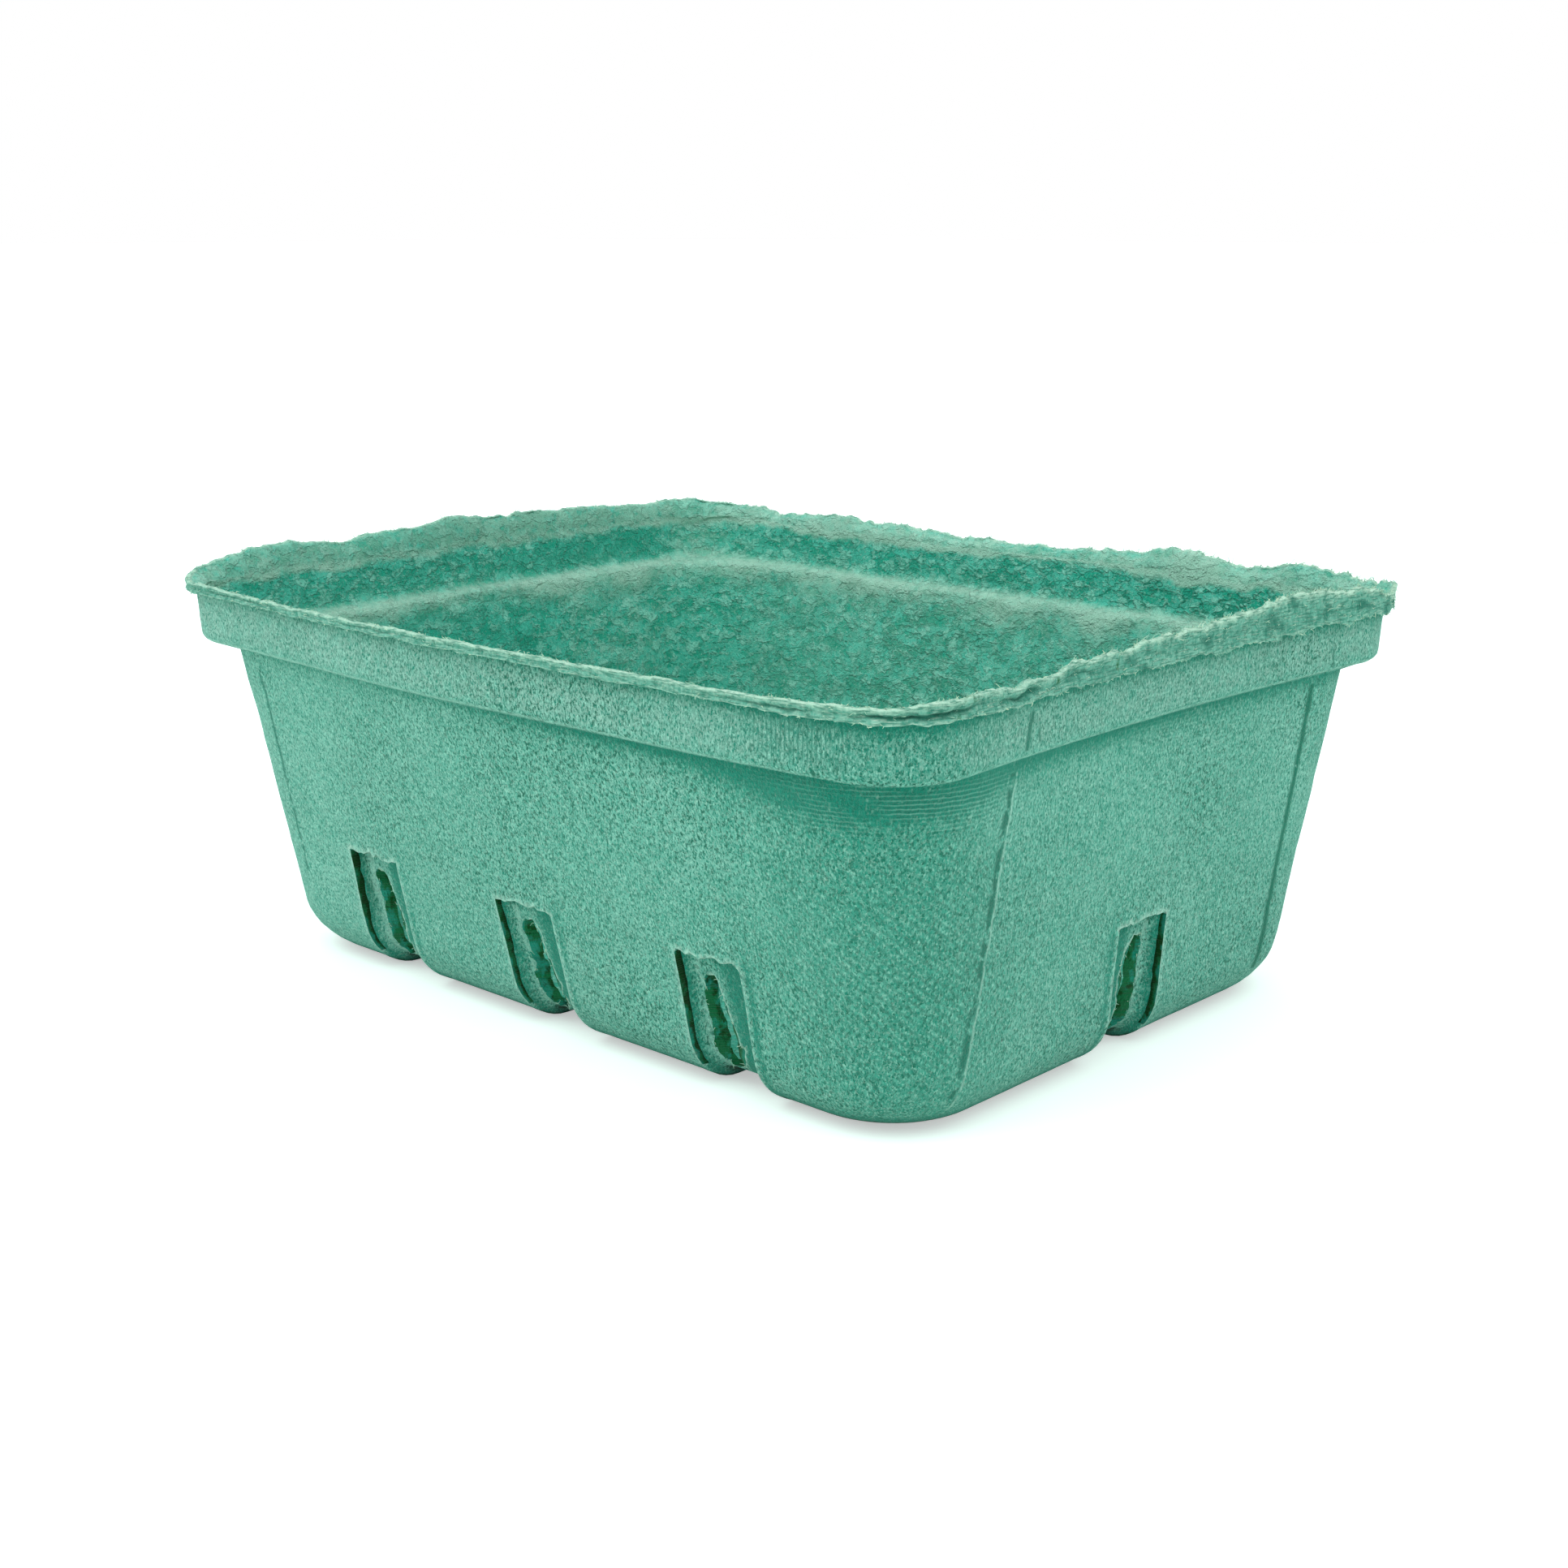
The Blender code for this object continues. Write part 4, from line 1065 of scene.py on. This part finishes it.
def growFibres(points, facts):
    chance = np.random.RandomState(5)
    row, out = facts["row"], facts["out"]
    rough = np.zeros(len(row))
    rough[facts["lip"]] = facts["rough"]
    tangent = np.stack([-out[:, 1], out[:, 0], 0 * row], 1)
    roots = {
        "crest": np.flatnonzero(row > marks["top"] - 0.1),
        "face": np.flatnonzero((row > marks["face"] + 0.5) & (row < marks["top"] - 1.5)),
        "hem": np.flatnonzero(abs(row - marks["face"]) < 0.1),
        "slot": np.flatnonzero(facts["slotRim"]),
    }
    curve = bpy.data.curves.new("tornFibres", "CURVE")
    curve.dimensions = "3D"
    curve.bevel_depth = fibres["radius"] * mm
    curve.bevel_resolution = 0
    curve.use_fill_caps = True
    for kind, places in roots.items():
        look = fibres[kind]
        likely = np.ones(len(places)) if kind == "slot" else 0.15 + rough[places] ** 2
        picks = chance.choice(places, look["count"], p=likely / likely.sum())
        for pick in picks:
            wild = 0.8 if kind == "slot" else 0.45 + 0.5 * rough[pick]
            length = min(look["short"] + chance.exponential(0.4) * wild, look["long"] * wild)
            along = chance.choice((-1, 1)) * chance.uniform(0.2, 1)
            if kind == "slot":
                along = -facts["slotSide"][pick] * chance.uniform(0.0, 1)
            way = tangent[pick] * along + out[pick] * chance.uniform(*look["out"])
            way[2] += chance.uniform(*look["rise"]) * wild
            way /= np.linalg.norm(way)
            side = np.cross(way, out[pick])
            start = points[pick] + tangent[pick] * chance.uniform(-0.6, 0.6) - way * 0.15
            bends = chance.uniform(-1, 1, 2) * fibres["bend"] * length
            spline = curve.splines.new("POLY")
            spline.points.add(3)
            shape = ((0, 0, 1.0), (0.35, bends[0], 0.85), (0.7, bends[0] + bends[1], 0.6), (1, bends[1], 0.2))
            for point, (share, bend, radius) in zip(spline.points, shape):
                place = (start + way * length * share + side * bend) * mm
                point.co = (*place, 1)
                point.radius = radius
    piece = bpy.data.objects.new("tornFibres", curve)
    bpy.context.scene.collection.objects.link(piece)
    deselectAll()
    piece.select_set(True)
    bpy.context.view_layer.objects.active = piece
    bpy.ops.object.convert(target="MESH")
    piece = bpy.context.object
    piece.data.materials.append(pulps["looseFibre"])
    bpy.ops.object.shade_smooth()
    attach(piece, "root")
    print("fibres grown,", len(piece.data.polygons), "faces")


growFibres(points, facts)


# Studio: white floor and backdrop, daylight all round, a soft key from the left, a fill and a light overhead
studio = {
    "ambient": 0.55, "floorColour": "#D5ECE5", "floorLift": 0.45,
    "suns": (
        {"name": "key", "towards": (-0.45, -1.0, 1.0), "strength": 1.3, "angle": 50},
        {"name": "fill", "towards": (1.0, -0.1, 0.8), "strength": 0.85, "angle": 60},
        {"name": "overhead", "towards": (0.0, 0.1, 1.0), "strength": 1.5, "angle": 100},
    ),
}


def seenShare(tree):  # 1 where the camera, a reflection or a see-through part looks
    path = addNode(tree, "ShaderNodeLightPath")
    share = path.outputs["Is Camera Ray"]
    for name in ("Is Glossy Ray", "Is Transmission Ray"):
        node = addNode(tree, "ShaderNodeMath", {"operation": "MAXIMUM"}, {0: share, 1: path.outputs[name]})
        share = node.outputs[0]
    return share


def addStudio():
    deselectAll()
    bpy.ops.mesh.primitive_plane_add(size=30, location=(0, 0, -0.05 * mm))
    floor = bpy.context.object
    floor.name = "floor"
    paper = bpy.data.materials.new("whitePaperSweep")
    paper.use_nodes = True
    tree = paper.node_tree
    shader = tree.nodes["Principled BSDF"]
    shader.inputs["Base Color"].default_value = linear(studio["floorColour"])
    shader.inputs["Roughness"].default_value = 0.9
    shader.inputs["Emission Color"].default_value = (1, 1, 1, 1)
    lift = addNode(tree, "ShaderNodeMath", {"operation": "MULTIPLY"}, {0: seenShare(tree), 1: studio["floorLift"]})
    tree.links.new(lift.outputs[0], shader.inputs["Emission Strength"])
    floor.data.materials.append(paper)

    world = bpy.data.worlds.new("studio")
    bpy.context.scene.world = world
    world.use_nodes = True
    tree = world.node_tree
    background = tree.nodes["Background"]
    background.inputs["Color"].default_value = (1, 1, 1, 1)
    limits = {"Value": seenShare(tree), "To Min": studio["ambient"], "To Max": 1.0}
    strength = addNode(tree, "ShaderNodeMapRange", None, limits)
    tree.links.new(strength.outputs[0], background.inputs["Strength"])

    for sun in studio["suns"]:
        data = bpy.data.lights.new(sun["name"], "SUN")
        data.energy = sun["strength"]
        data.angle = math.radians(sun["angle"])
        lamp = bpy.data.objects.new(sun["name"], data)
        bpy.context.scene.collection.objects.link(lamp)
        lamp.rotation_mode = "QUATERNION"
        lamp.rotation_quaternion = Vector(sun["towards"]).to_track_quat("Z", "Y")
    bpy.context.scene.view_settings.view_transform = "Standard"


addStudio()
print("studio lit")
